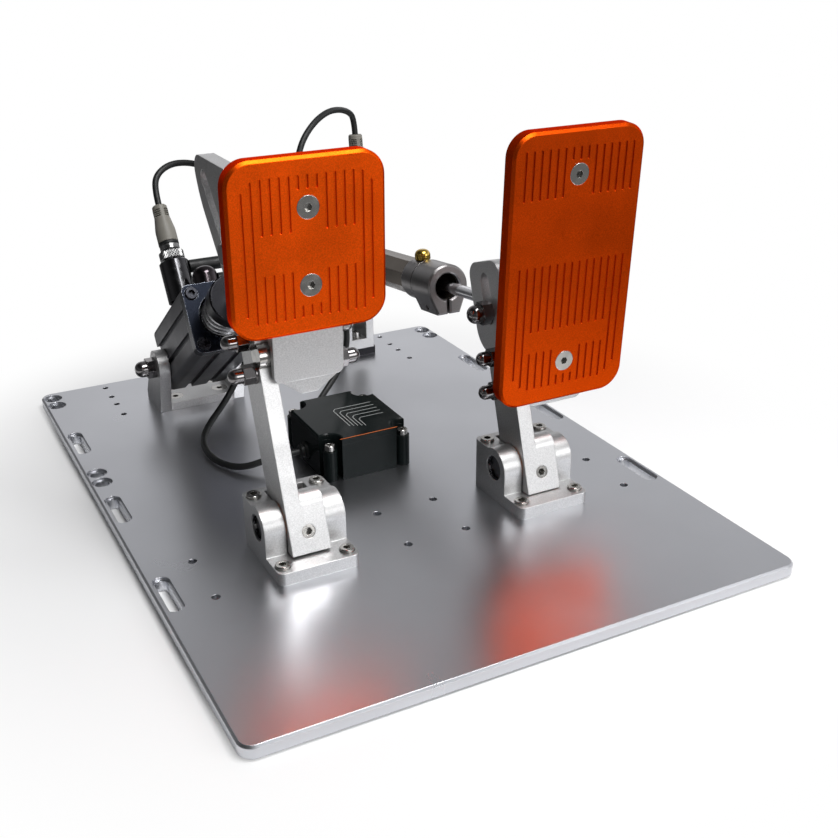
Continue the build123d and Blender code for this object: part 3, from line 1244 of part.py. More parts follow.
# Pressure sensors: a steel body, a knurled ring and a moulded plug
def make_sensor(name, seat, stub, length):
    with BuildPart() as body:
        with BuildSketch(seat):
            Circle(SENSOR_DIAMETER / 2)
        extrude(amount=length)
        top_rim = body.edges().filter_by(GeomType.CIRCLE).group_by(Axis(seat.origin, seat.z_dir))[-1]
        chamfer(top_rim, SENSOR_CONE)
        with BuildSketch(seat):
            Circle(SENSOR_THREAD / 2)
        extrude(amount=-stub)
    finish(body.part, f"{name}_sensor")
    with BuildPart() as ring:
        with BuildSketch(seat.offset(length)):
            Circle(SENSOR_RING_DIAMETER / 2)
            with PolarLocations(SENSOR_RING_DIAMETER / 2, KNURL_COUNT):
                Circle(KNURL_RADIUS, mode=Mode.SUBTRACT)
        extrude(amount=SENSOR_RING_LENGTH)
        with BuildSketch(seat.offset(length + SENSOR_RING_LENGTH)):
            Circle(PLUG_RING_DIAMETER / 2)
        extrude(amount=PLUG_RING_LENGTH)
    start = length + SENSOR_RING_LENGTH + PLUG_RING_LENGTH
    grip_end, neck_start, neck_end, tip_start = [start + PLUG_LENGTH * share for share in PLUG_STEP_SHARES]
    with BuildPart() as plug:
        with BuildSketch(Plane(origin=seat.origin, x_dir=seat.x_dir, z_dir=-seat.y_dir)):
            with BuildLine():
                Polyline(
                    (0, start), (PLUG_RING_DIAMETER / 2, start), (PLUG_RING_DIAMETER / 2, grip_end),
                    (PLUG_NECK_DIAMETER / 2, neck_start), (PLUG_NECK_DIAMETER / 2, neck_end),
                    (PLUG_TIP_DIAMETER / 2, tip_start), (PLUG_TIP_DIAMETER / 2, start + PLUG_LENGTH),
                    (0, start + PLUG_LENGTH), (0, start),
                )
            make_face()
        revolve(axis=Axis(seat.origin, seat.z_dir))
    finish(Compound(children=[ring.part, plug.part]), f"{name}_sensor_plug")


brake_sensor_seat = brake_line.upright(BRAKE_SENSOR_ALONG, HOUSING_SIDE / 2, BRAKE_SENSOR_X)
make_sensor("brake", brake_sensor_seat, SENSOR_STUB, SENSOR_LENGTH)

# Banjo fitting on the housing's top, its brass washer and the hose
fitting_seat = brake_line.upright(FITTING_ALONG, HOUSING_SIDE / 2)
fitting_washer = ring_part(
    fitting_seat, FITTING_WASHER / 2, SENSOR_THREAD / 2 + RUNNING_FIT, FITTING_WASHER_THICKNESS
)
with BuildPart() as fitting:
    with BuildSketch(fitting_seat.offset(FITTING_WASHER_THICKNESS)):
        Circle(FITTING_DIAMETER / 2)
    extrude(amount=FITTING_HEIGHT)
    fitting_rims = fitting.edges().filter_by(GeomType.CIRCLE)
    fillet(fitting_rims.group_by(Axis(fitting_seat.origin, fitting_seat.z_dir))[-1], FITTING_DOME)
    with BuildSketch(fitting_seat.offset(FITTING_WASHER_THICKNESS)):
        Circle(SENSOR_THREAD / 2)
    extrude(amount=-FITTING_STUB)
finish(Compound(children=[fitting.part, fitting_washer]), "hose_fitting")


def tube_route(name, points, diameter):
    """A tube along straight runs joined by tangent arcs, with its radii printed."""
    corners = [Vector(*point) for point in points]
    runs = [(after - before).length for before, after in zip(corners, corners[1:])]
    radii = []
    for before, corner, after, run_in, run_out in zip(corners, corners[1:], corners[2:], runs, runs[1:]):
        half_turn = radians((corner - before).get_angle(after - corner)) / 2
        radii.append(ROUTE_SHARE * min(run_in, run_out) / tan(half_turn))
    with BuildPart() as tube:
        with BuildLine() as path:
            FilletPolyline(*corners, radius=radii)
        with BuildSketch(Plane(origin=corners[0], z_dir=corners[1] - corners[0])):
            Circle(diameter / 2)
        sweep(path=path.wire())
    length = path.wire().length
    volume = pi * diameter**2 / 4 * length
    print(name, "length", round(length), "least radius", round(min(radii), 1),
          "volume share", round(tube.part.volume / volume, 4))
    print("  radii", [round(radius, 1) for radius in radii])
    finish(tube.part, name)


# Brake hose: from the sensor's body round to the banjo fitting
hose_x, hose_y, hose_z = brake_line.point(BRAKE_SENSOR_ALONG, HOUSING_SIDE / 2 + HOSE_RISE, BRAKE_SENSOR_X)
fit_x, fit_y, fit_z = brake_line.point(
    FITTING_ALONG, HOUSING_SIDE / 2 + FITTING_WASHER_THICKNESS + HOSE_DIAMETER / 2 + SOFT_FIT
)
hose_start = (hose_x + SENSOR_DIAMETER / 2 + RUNNING_FIT, hose_y, hose_z)
hose_end = (fit_x + FITTING_DIAMETER / 2 + RUNNING_FIT, fit_y, fit_z)
hose_far = hose_start[0] + HOSE_REACH
hose_route = [hose_start, (hose_far, hose_y, hose_z), (hose_far, fit_y, fit_z), hose_end]
tube_route("brake_hose", hose_route, HOSE_DIAMETER)

# Throttle unit, from its rear tongue to the clamp
clamp_front = (THROTTLE_REAR_PIVOT_Y - CLAMP_FRONT_Y) / cos(throttle_line.angle)
clamp_back = clamp_front - CLAMP_LENGTH
collar_back = clamp_back - O_RING_LENGTH - COLLAR_LENGTH
tube_back = collar_back - TUBE_LENGTH
tongue_y, tongue_z = THROTTLE_REAR_PIVOT_Y, TOP + THROTTLE_REAR_PIVOT_RISE

with BuildPart() as rear_block:
    with BuildSketch(throttle_line.across(REAR_BLOCK_BACK)):
        RectangleRounded(REAR_BLOCK_SIDE, REAR_BLOCK_SIDE, HOUSING_CORNER)
    extrude(amount=tube_back - REAR_BLOCK_BACK)
    with BuildSketch(throttle_line.lengthwise(THROTTLE_UNIT_X + REAR_TONGUE_WIDTH / 2)):
        with BuildLine():
            Polyline(
                (0, REAR_TONGUE_RADIUS), (REAR_BLOCK_BACK + OVERRUN, REAR_TONGUE_RADIUS),
                (REAR_BLOCK_BACK + OVERRUN, -REAR_TONGUE_RADIUS), (0, -REAR_TONGUE_RADIUS),
            )
            ThreePointArc((0, -REAR_TONGUE_RADIUS), (-REAR_TONGUE_RADIUS, 0), (0, REAR_TONGUE_RADIUS))
        make_face()
    extrude(amount=REAR_TONGUE_WIDTH)
    with BuildSketch(side_plane(THROTTLE_UNIT_X - REAR_TONGUE_WIDTH, tongue_y, tongue_z, 1)):
        Circle(ROD_BOLT / 2 + RUNNING_FIT)
    extrude(amount=2 * REAR_TONGUE_WIDTH, mode=Mode.SUBTRACT)
    with BuildSketch(throttle_line.upright(THROTTLE_SENSOR_AHEAD, REAR_BLOCK_SIDE / 2)):
        Circle(SENSOR_THREAD / 2 + RUNNING_FIT)
    extrude(amount=-SENSOR_STUB, mode=Mode.SUBTRACT)
finish(rear_block.part, "throttle_rear_block")

with BuildPart() as tube:
    with BuildSketch(throttle_line.across(tube_back)):
        RegularPolygon(TUBE_ACROSS_FLATS / 2, TUBE_SIDES, major_radius=False, rotation=TUBE_TURN)
    extrude(amount=TUBE_LENGTH)
    with BuildSketch(throttle_line.across(collar_back)):
        Circle(TUBE_SPIGOT / 2)
    extrude(amount=clamp_front - CLAMP_LIP - collar_back)
    with BuildSketch(throttle_line.across(tube_back)):
        Circle(TUBE_BORE / 2)
    extrude(amount=clamp_front - tube_back, mode=Mode.SUBTRACT)
finish(tube.part, "throttle_tube")

bleed_seat = throttle_line.upright(clamp_back - O_RING_LENGTH - COLLAR_LENGTH / 2, COLLAR_DIAMETER / 2)
with BuildPart() as collar:
    with BuildSketch(throttle_line.across(collar_back)):
        Circle(COLLAR_DIAMETER / 2)
        Circle(TUBE_SPIGOT / 2 + RUNNING_FIT, mode=Mode.SUBTRACT)
    extrude(amount=COLLAR_LENGTH)
    with BuildSketch(bleed_seat.offset(BLEED_STUB)):
        Circle(BLEED_THREAD / 2 + RUNNING_FIT)
    extrude(amount=-2 * BLEED_STUB, mode=Mode.SUBTRACT)
finish(collar.part, "throttle_collar")
o_ring = ring_part(
    throttle_line.across(clamp_back - O_RING_LENGTH), O_RING_DIAMETER / 2, TUBE_SPIGOT / 2 + RUNNING_FIT,
    O_RING_LENGTH,
)
finish(o_ring, "throttle_o_ring")

with BuildPart() as clamp:
    with BuildSketch(throttle_line.across(clamp_back)):
        Circle(CLAMP_DIAMETER / 2)
        with Locations((0, -CLAMP_DROP)):
            Rectangle(CLAMP_LUG_WIDTH, CLAMP_SLIT, align=(Align.CENTER, Align.MIN))
        make_hull()
    extrude(amount=CLAMP_LENGTH)
    with BuildSketch(throttle_line.across(clamp_back)):
        Circle(TUBE_SPIGOT / 2 + RUNNING_FIT)
    extrude(amount=CLAMP_LENGTH - CLAMP_LIP, mode=Mode.SUBTRACT)
    with BuildSketch(throttle_line.across(clamp_back)):
        Circle(CLAMP_BORE / 2)
        with Locations((0, -CLAMP_DROP)):
            Rectangle(CLAMP_SLIT, CLAMP_DROP, align=(Align.CENTER, Align.MIN))
    extrude(amount=CLAMP_LENGTH, mode=Mode.SUBTRACT)
    front_rim = clamp.faces().sort_by(Axis(throttle_line.point(0), throttle_line.along))[-1]
    chamfer(front_rim.outer_wire().edges(), PLATE_EDGE_CHAMFER)
    screw_spot = throttle_line.point(clamp_back + CLAMP_LENGTH / 2, -CLAMP_SCREW_DROP)
    with BuildSketch(side_plane(THROTTLE_UNIT_X - CLAMP_DIAMETER / 2, *screw_spot[1:], 1)):
        Circle(BOX_SCREW / 2 + RUNNING_FIT)
    extrude(amount=CLAMP_DIAMETER, mode=Mode.SUBTRACT)
finish(clamp.part, "throttle_clamp")
clamp_screw = round_bar(
    side_plane(THROTTLE_UNIT_X - CLAMP_LUG_WIDTH / 2, *screw_spot[1:], 1), BOX_SCREW / 2, CLAMP_LUG_WIDTH
)
finish(clamp_screw, "throttle_clamp_screw")

with BuildPart() as bleed_screw:
    with BuildSketch(bleed_seat.offset(-BLEED_STUB)):
        Circle(BLEED_THREAD / 2)
    extrude(amount=BLEED_STUB)
    with BuildSketch(bleed_seat):
        Circle(BLEED_DIAMETER / 2)
    extrude(amount=BLEED_HEIGHT)
    bleed_rims = bleed_screw.edges().filter_by(GeomType.CIRCLE)
    fillet(bleed_rims.group_by(Axis(bleed_seat.origin, bleed_seat.z_dir))[-1], BLEED_DOME)
finish(bleed_screw.part, "throttle_bleed_screw")

# Throttle rod with its piston, the spring behind it and the rod end
throttle_shank_start = throttle_line.rod - THROTTLE_EYE_RADIUS - THROTTLE_SHANK
throttle_piston_back = tube_back + THROTTLE_SPRING_LENGTH
with BuildPart() as throttle_rod:
    with BuildSketch(throttle_line.across(throttle_piston_back)):
        Circle(TUBE_BORE / 2 - RUNNING_FIT)
    extrude(amount=THROTTLE_PISTON_LENGTH)
    with BuildSketch(throttle_line.across(throttle_piston_back)):
        Circle(THROTTLE_ROD_DIAMETER / 2)
    extrude(amount=throttle_shank_start + THROTTLE_SHANK - RUNNING_FIT - throttle_piston_back)
finish(throttle_rod.part, "throttle_rod")
throttle_rod_end = [
    rod_end(
        throttle_line, THROTTLE_EYE_RADIUS, THROTTLE_EYE_WIDTH, THROTTLE_BALL, THROTTLE_SHANK_DIAMETER,
        THROTTLE_SHANK, THROTTLE_ROD_DIAMETER,
    ),
    ball_part(
        throttle_line.point(throttle_line.rod), THROTTLE_BALL / 2, THROTTLE_BALL_WIDTH,
        ROD_BOLT / 2 + OPEN_PIVOT_CLEARANCE,
    ),
    hex_nut(
        throttle_line, throttle_shank_start - LOCK_NUT_HEIGHT, THROTTLE_LOCK_NUT_FLATS, LOCK_NUT_HEIGHT,
        THROTTLE_ROD_DIAMETER,
    ),
]
finish(Compound(children=throttle_rod_end), "throttle_rod_end")
throttle_spring_start = tube_back + THROTTLE_SPRING_WIRE / 2 + SPRING_END_GAP
throttle_spring = coil(
    throttle_line.across(throttle_spring_start), THROTTLE_SPRING_MEAN / 2, THROTTLE_SPRING_WIRE,
    THROTTLE_SPRING_LENGTH - THROTTLE_SPRING_WIRE - 2 * SPRING_END_GAP, THROTTLE_SPRING_TURNS,
)
finish(throttle_spring, "throttle_spring")

throttle_ball_left = THROTTLE_UNIT_X - THROTTLE_BALL_WIDTH / 2
throttle_ball_right = THROTTLE_UNIT_X + THROTTLE_BALL_WIDTH / 2
throttle_stud_left = throttle_left - NUT_HEX_HEIGHT
with BuildPart() as throttle_stud:
    with BuildSketch(side_plane(throttle_stud_left, throttle_rod_y, throttle_rod_z, 1)):
        Circle(ROD_BOLT / 2)
    extrude(amount=throttle_ball_right + ROD_NUT_HEIGHT - throttle_stud_left)
throttle_rod_bolt = [
    throttle_stud.part,
    acorn_nut(
        side_plane(throttle_left, throttle_rod_y, throttle_rod_z, -1), PIVOT_NUT_FLATS, NUT_HEX_HEIGHT,
        NUT_DOME_HEIGHT, PIVOT_NUT_DOME, ROD_BOLT / 2 + RUNNING_FIT, NUT_HEX_HEIGHT + RUNNING_FIT,
    ),
    rod_spacer(throttle_right, throttle_ball_left - SOFT_FIT, throttle_rod_y, throttle_rod_z),
    rod_nut(throttle_ball_right + SOFT_FIT, throttle_rod_y, throttle_rod_z),
]
finish(Compound(children=throttle_rod_bolt), "throttle_rod_bolt")

throttle_sensor_seat = throttle_line.upright(THROTTLE_SENSOR_AHEAD, REAR_BLOCK_SIDE / 2)
make_sensor("throttle", throttle_sensor_seat, SENSOR_STUB, THROTTLE_SENSOR_LENGTH)

# Throttle unit's rear bracket on its dark foot
foot_top = TOP + THROTTLE_BRACKET_FOOT
base_top = foot_top + THROTTLE_BRACKET_BASE
bracket_middle_y = (THROTTLE_BRACKET_FRONT_Y + THROTTLE_BRACKET_REAR_Y) / 2
bracket_depth = THROTTLE_BRACKET_REAR_Y - THROTTLE_BRACKET_FRONT_Y
with BuildPart() as throttle_foot:
    with BuildSketch(Plane.XY.offset(TOP)):
        with Locations((THROTTLE_UNIT_X, bracket_middle_y)):
            RectangleRounded(THROTTLE_FOOT_WIDTH, bracket_depth, BRACKET_CORNER / 2)
        with Locations(*throttle_foot_holes):
            Circle(CAP_THREAD / 2 + RUNNING_FIT, mode=Mode.SUBTRACT)
    extrude(amount=THROTTLE_BRACKET_FOOT)
finish(throttle_foot.part, "throttle_bracket_foot")

with BuildPart() as throttle_bracket:
    with BuildSketch(Plane.XY.offset(foot_top)):
        with Locations((THROTTLE_UNIT_X, bracket_middle_y)):
            Rectangle(throttle_bracket_width, bracket_depth)
        with Locations(*throttle_foot_holes):
            Circle(CAP_THREAD / 2 + RUNNING_FIT, mode=Mode.SUBTRACT)
    extrude(amount=THROTTLE_BRACKET_BASE)
    for side in (-1, 1):
        with BuildSketch(side_plane(THROTTLE_UNIT_X + side * throttle_inner_gap / 2, 0, 0, 1)):
            with Locations((tongue_y, tongue_z)):
                Circle(THROTTLE_CHEEK_TOP_RADIUS)
            with Locations((bracket_middle_y, foot_top)):
                Rectangle(bracket_depth, THROTTLE_BRACKET_BASE, align=(Align.CENTER, Align.MIN))
            make_hull()
            with Locations((tongue_y, tongue_z)):
                Circle(ROD_BOLT / 2 + RUNNING_FIT, mode=Mode.SUBTRACT)
        extrude(amount=side * THROTTLE_CHEEK)
finish(throttle_bracket.part, "throttle_unit_bracket")

for x, y in throttle_foot_holes:
    foot_screws.append(
        socket(
            CAP_HEAD / 2, CAP_HEAD_HEIGHT, CAP_KEY, CAP_KEY_DEPTH,
            Plane(origin=(x, y, base_top), z_dir=(0, 0, 1)), CAP_THREAD / 2, base_top - OVERRUN,
        )
    )
finish(Compound(children=foot_screws), "rear_foot_screws")
pivot_studs += pivot_stud(THROTTLE_UNIT_X, throttle_bracket_width / 2, tongue_y, tongue_z)
finish(Compound(children=pivot_studs), "rear_pivot_studs")


# Control box: body with four corner posts, lid, board, screws and grommets
def box_outline(plane):
    with BuildSketch(plane) as outline:
        with Locations((BOX_X, BOX_Y)):
            RectangleRounded(BOX_WIDTH, BOX_DEPTH, BOX_POST_RADIUS)
        with Locations(*box_post_places):
            Circle(BOX_NOTCH_RADIUS, mode=Mode.SUBTRACT)
    return outline.sketch


with BuildPart() as box_body:
    extrude(box_outline(Plane.XY.offset(TOP)), amount=BOX_HEIGHT)
    with BuildSketch(Plane.XY.offset(TOP)):
        with Locations(*box_post_places):
            Circle(BOX_POST_RADIUS)
        for x, y in box_post_places:
            toward = (BOX_X + (x - BOX_X) / 2, BOX_Y + (y - BOX_Y) / 2)
            with BuildLine():
                Line((x, y), toward)
            trace(line_width=BOX_POST_RADIUS)
    extrude(amount=BOX_POST_HEIGHT)
    with BuildSketch(Plane.XY.offset(TOP + BOX_WALL)):
        with Locations((BOX_X, BOX_Y)):
            Rectangle(BOX_WIDTH - 2 * BOX_WALL, BOX_DEPTH - 2 * BOX_WALL)
        with Locations(*box_post_places):
            Circle(BOX_NOTCH_RADIUS + BOX_WALL, mode=Mode.SUBTRACT)
    extrude(amount=BOX_HEIGHT, mode=Mode.SUBTRACT)
    with BuildSketch(Plane.XY.offset(TOP)):
        with Locations(*box_post_places):
            Circle(BOX_SCREW / 2 + RUNNING_FIT)
    extrude(amount=BOX_POST_HEIGHT, mode=Mode.SUBTRACT)
    with BuildSketch(side_plane(BOX_X - BOX_WIDTH / 2, BOX_Y, TOP + GROMMET_RISE, 1)):
        Circle(GROMMET_DIAMETER / 2 + RUNNING_FIT)
    extrude(amount=BOX_WALL, mode=Mode.SUBTRACT)
    with BuildSketch(Plane(origin=(BOX_X, BOX_Y + BOX_DEPTH / 2, TOP + GROMMET_RISE), z_dir=(0, -1, 0))):
        Circle(GROMMET_DIAMETER / 2 + RUNNING_FIT)
    extrude(amount=BOX_WALL, mode=Mode.SUBTRACT)
finish(box_body.part, "control_box_body")

with BuildPart() as box_lid:
    extrude(box_outline(Plane.XY.offset(TOP + BOX_HEIGHT)), amount=BOX_LID)
    chamfer(box_lid.faces().sort_by(Axis.Z)[-1].edges(), BOX_LID_RIM)
finish(box_lid.part, "control_box_lid")

with BuildPart() as board:
    with BuildSketch(Plane.XY.offset(TOP + BOARD_RISE)):
        with Locations((BOX_X, BOX_Y)):
            Rectangle(BOX_WIDTH - 2 * BOX_WALL - 2 * SOFT_FIT, BOX_DEPTH - 2 * BOX_WALL - 2 * SOFT_FIT)
        with Locations(*box_post_places):
            Circle(BOX_NOTCH_RADIUS + BOX_WALL + SOFT_FIT, mode=Mode.SUBTRACT)
    extrude(amount=BOARD_THICKNESS)
    with BuildSketch(Plane.XY.offset(TOP + BOARD_RISE + BOARD_THICKNESS)):
        with Locations((BOX_X, BOX_Y)):
            Rectangle(BOARD_CHIP, BOARD_CHIP)
    extrude(amount=BOARD_THICKNESS)
    with BuildSketch(Plane.XY.offset(TOP + BOX_WALL)):
        with Locations((BOX_X, BOX_Y)):
            with GridLocations(BOARD_POST_PITCH_X, BOARD_POST_PITCH_Y, 2, 2):
                Circle(BOX_SCREW / 2)
    extrude(amount=BOARD_RISE - BOX_WALL)
finish(board.part, "circuit_board")

box_screws = [
    socket(
        BOX_SCREW_HEAD / 2, BOX_SCREW, BOX_SCREW_KEY, BOX_SCREW / 2,
        Plane(origin=(x, y, TOP + BOX_POST_HEIGHT), z_dir=(0, 0, 1)), BOX_SCREW / 2,
        TOP + BOX_POST_HEIGHT - OVERRUN,
    )
    for x, y in box_post_places
]
finish(Compound(children=box_screws), "control_box_screws")

left_wall = side_plane(BOX_X - BOX_WIDTH / 2, BOX_Y, TOP + GROMMET_RISE, -1)
rear_wall = Plane(origin=(BOX_X, BOX_Y + BOX_DEPTH / 2, TOP + GROMMET_RISE), z_dir=(0, 1, 0))
grommets = []
for wall in (left_wall, rear_wall):
    with BuildPart() as grommet:
        with BuildSketch(wall.offset(-BOX_WALL)):
            Circle(GROMMET_DIAMETER / 2)
        extrude(amount=BOX_WALL)
        with BuildSketch(wall):
            Circle(GROMMET_DIAMETER / 2 + GROMMET_LIP)
        extrude(amount=GROMMET_LIP)
        with BuildSketch(wall.offset(GROMMET_LIP)):
            Circle(GROMMET_DIAMETER / 2)
        extrude(amount=GROMMET_NECK)
        chamfer(grommet.faces().sort_by(Axis(wall.origin, wall.z_dir))[-1].edges(), GROMMET_LIP / 2)
    grommets.append(grommet.part)
finish(Compound(children=grommets), "cable_grommets")
grommet_reach = GROMMET_LIP + GROMMET_NECK

# Cables. Each starts at its plug, loops over and comes down to the box; the
# loop moves with its unit and ends just short of the part that lies still.
plug_reach = SENSOR_RING_LENGTH + PLUG_RING_LENGTH + PLUG_LENGTH
brake_plug_tip = brake_sensor_seat.offset(SENSOR_LENGTH + plug_reach)
throttle_plug_tip = throttle_sensor_seat.offset(THROTTLE_SENSOR_LENGTH + plug_reach)


def leave(plane, distance):
    spot = plane.offset(distance).origin
    return (spot.X, spot.Y, spot.Z)


brake_loop = [
    leave(brake_plug_tip, 0), leave(brake_plug_tip, CABLE_LEAD), *BRAKE_LOOP_POINTS,
]
brake_run = [
    *BRAKE_RUN_POINTS,
    (BOX_X - BOX_WIDTH / 2 - grommet_reach - GROMMET_LEAD, BOX_Y, TOP + GROMMET_RISE),
    (BOX_X - BOX_WIDTH / 2 - grommet_reach, BOX_Y, TOP + GROMMET_RISE),
]
throttle_loop = [
    leave(throttle_plug_tip, 0), leave(throttle_plug_tip, CABLE_LEAD), *THROTTLE_LOOP_POINTS,
]
throttle_run = [
    *THROTTLE_RUN_POINTS,
    (BOX_X, BOX_Y + BOX_DEPTH / 2 + grommet_reach + GROMMET_LEAD, TOP + GROMMET_RISE),
    (BOX_X, BOX_Y + BOX_DEPTH / 2 + grommet_reach, TOP + GROMMET_RISE),
]
print("plug tips", leave(brake_plug_tip, 0), leave(throttle_plug_tip, 0))
tube_route("brake_cable_loop", brake_loop, CABLE_DIAMETER)
tube_route("brake_cable", brake_run, CABLE_DIAMETER)
tube_route("throttle_cable_loop", throttle_loop, CABLE_DIAMETER)
tube_route("throttle_cable", throttle_run, CABLE_DIAMETER)
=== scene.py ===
"""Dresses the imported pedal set: finishes on every piece, and new springs, cables, plugs, rings and lines."""

import math

import bmesh
import bpy
from mathutils import Matrix, Vector


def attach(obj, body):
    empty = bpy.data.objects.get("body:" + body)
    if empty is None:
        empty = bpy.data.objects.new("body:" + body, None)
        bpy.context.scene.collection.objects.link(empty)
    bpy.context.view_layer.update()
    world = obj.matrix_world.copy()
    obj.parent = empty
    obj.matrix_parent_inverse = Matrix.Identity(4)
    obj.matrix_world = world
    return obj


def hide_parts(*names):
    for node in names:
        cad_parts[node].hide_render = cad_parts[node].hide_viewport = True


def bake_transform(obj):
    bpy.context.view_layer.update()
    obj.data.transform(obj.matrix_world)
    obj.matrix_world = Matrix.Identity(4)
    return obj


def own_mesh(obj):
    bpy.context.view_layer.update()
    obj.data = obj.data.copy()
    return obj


bl_info = {
    "name": "Racing pedal set",
    "version": (1, 0, 0),
    "blender": (4, 5, 0),
    "location": "3D View > Sidebar > Pedals",
    "description": "Finishes and soft pieces of a two-pedal racing set",
    "category": "Object",
}

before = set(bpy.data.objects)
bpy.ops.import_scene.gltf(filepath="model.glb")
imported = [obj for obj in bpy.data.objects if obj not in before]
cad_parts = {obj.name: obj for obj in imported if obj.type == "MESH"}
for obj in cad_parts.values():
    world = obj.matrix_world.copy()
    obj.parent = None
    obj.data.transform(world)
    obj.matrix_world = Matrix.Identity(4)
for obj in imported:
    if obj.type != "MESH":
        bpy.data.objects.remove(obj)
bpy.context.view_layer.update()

MM = 0.001

# Pedal pivots: half their distance, their place, and where a bush's flange and a bore's ring lie
PIVOT_X = 77.4 * MM
PIVOT_Y = -78.0 * MM
PIVOT_Z = 29.0 * MM
BUSH_FLANGE_FACE = 12.2 * MM
RING_SEAT = 22.5 * MM

# The two cylinders: the slope of each line, a point on it at the rear, and the sensor's seat
BRAKE_SLOPE = math.radians(34.0395)
THROTTLE_SLOPE = math.radians(6.9454)
BRAKE_FOOT = Vector((-61.0, 156.1982, 49.2149)) * MM
THROTTLE_FOOT = Vector((84.0, 198.0, 89.0)) * MM
BRAKE_SEAT = Vector((-74.5, 127.0915, 97.2363)) * MM
THROTTLE_SEAT = Vector((84.0, 171.3415, 105.8473)) * MM
FITTING_SEAT = 25.0 * MM

# Springs: start and length along the cylinder's line, and the share left at the pedal's limit
SPRING_TURNS = 11
SPRING_STEPS = 28
SPRING_ROUNDNESS = 4
CLOSED_PITCH_SHARE = 1.02
BRAKE_SPRING_START = 42.0 * MM
BRAKE_SPRING_LENGTH = 70.9 * MM
BRAKE_SPRING_KEEP_SHARE = 0.702
THROTTLE_SPRING_START = 36.9 * MM
THROTTLE_SPRING_LENGTH = 57.9 * MM
THROTTLE_SPRING_KEEP_SHARE = 0.655

# Cables: real lengths, and a top and a low height for each
CABLE_DIAMETER = 4.4 * MM
CABLE_ROUNDNESS = 6
CABLE_STEPS = 6
BRAKE_CABLE_LENGTH = 0.389
BRAKE_BEND_TOP = 142.0 * MM
BRAKE_BEND_LOW = 60.0 * MM
THROTTLE_CABLE_LENGTH = 0.318
THROTTLE_BEND_TOP = 182.0 * MM
THROTTLE_BEND_LOW = 90.0 * MM

# Cable routes in millimetres: the solids' points, but a loop's are up to 9 mm away, to lower its top
BRAKE_LOOP = [
    (-74.5, 166.275, 155.242), (-74.5, 173.2, 165.5),
    (-70.4, 181.0, 174.0), (-58.8, 184.4, 180.0), (-45.6, 178.7, 180.6), (-35.0, 168.5, 176.8),
    (-26.9, 158.2, 169.2), (-21.5, 149.8, 156.9), (-19.0, 145.0, 142.0),
]
BRAKE_RUN = [
    (-18.6, 144.8, 138.8), (-16.3, 143.5, 119.2), (-15.4, 141.5, 99.5), (-17.7, 138.3, 80.1),
    (-22.9, 134.6, 61.4), (-31.3, 130.2, 44.2), (-43.7, 123.0, 30.7), (-57.2, 112.2, 21.1),
    (-71.4, 99.7, 15.4), (-82.2, 83.5, 12.8), (-86.5, 64.3, 12.0), (-84.3, 44.7, 11.2),
    (-73.3, 28.8, 11.3), (-54.7, 23.5, 17.0), (-35.1, 23.5, 17.0),
]
THROTTLE_LOOP = [
    (84.0, 181.342, 187.94), (84.0, 182.8, 199.6),
    (78.0, 178.3, 205.5), (65.5, 168.5, 209.8), (51.0, 157.5, 210.5), (36.6, 147.8, 205.5),
    (24.3, 140.2, 195.5), (18.0, 136.0, 182.0),
]
THROTTLE_RUN = [
    (17.9, 135.7, 179.0), (17.1, 133.0, 159.9), (19.2, 130.0, 141.0), (24.7, 126.7, 122.8),
    (31.5, 122.8, 105.2), (37.2, 118.1, 87.4), (40.7, 112.0, 69.5), (38.7, 106.0, 51.6),
    (29.5, 100.5, 36.0), (15.0, 94.5, 24.0), (0.0, 82.7, 17.0), (0.0, 63.1, 17.0),
]

# Plugs: how far the foot of each stands over its sensor's seat
BRAKE_PLUG_FOOT = 30.0 * MM
THROTTLE_PLUG_FOOT = 42.7 * MM
PLUG_PARTS = ("ring", "seal", "sleeve", "band", "grip")

# Sections of a plug in millimetres: (radius, height) points, or radius, low and high
RING_PROFILE = [(0.0, 0.0), (7.7, 0.0), (8.5, 0.5), (8.5, 5.5), (7.9, 6.0), (0.0, 6.0)]
RING_COLUMNS = 96
RIM_FROM = 8.2
RIB_VALLEY_SHARE = 0.945
SEAL_SECTION = (6.9, 6.0, 7.2)
SLEEVE_SECTION = (6.7, 7.2, 10.8)
BAND_SECTION = (7.0, 10.8, 13.0)
BROKEN_EDGE = 0.3
GRIP_FOOT = [(0.0, 13.0), (6.7, 13.0), (7.0, 13.4), (7.0, 20.5), (6.85, 22.5), (5.9, 28.0), (5.4, 31.0)]
GRIP_TIP = [(5.2, 37.4), (5.1, 39.2), (4.4, 40.0), (0.0, 40.0)]
GRIP_STEPS = 64
NECK_RADIUS = 5.3
GROOVES = 4
GROOVE_RADIUS = 4.0
GROOVE_START = 31.5
GROOVE_PITCH = 1.45
GROOVE_WIDTH = 0.85
GROOVE_SLANT = 0.05
BRIDGE_SHARE = 0.6
SAME_RADIUS = 0.05
MERGE_DISTANCE = 1e-7

# Retaining rings in millimetres
CIRCLIP_INNER = 6.9
CIRCLIP_OUTER = 8.4
CIRCLIP_THICKNESS = 1.0
CIRCLIP_GAP = math.radians(36.0)
CIRCLIP_STEPS = 44
EYE_RADIUS = 1.35
EYE_REACH = 6.7
EYE_TURN = math.radians(5.0)
CIRCLIP_LEAN = (0.0, 0.4, 1.0)

# Lines on the box in millimetres: each lid line runs in from the right, slants and runs to the front
LID_TOP = 37.0
LID_LINES = 5
LID_LINE_CORNER = Vector((-4.0, 34.0))
LID_LINE_STEP = Vector((2.4, -5.0))
LID_LINE_SLANT = Vector((-2.2, -2.6))
LID_LINE_RIGHT = 22.0
LID_LINE_FRONT = 5.0
LID_LINE_THICKNESS = 0.06
EDGE_LINE_HALF = 20.0
EDGE_LINE_Y = -10.9
EDGE_LINE_WIDTH = 0.7
EDGE_LINE_THICKNESS = 0.05

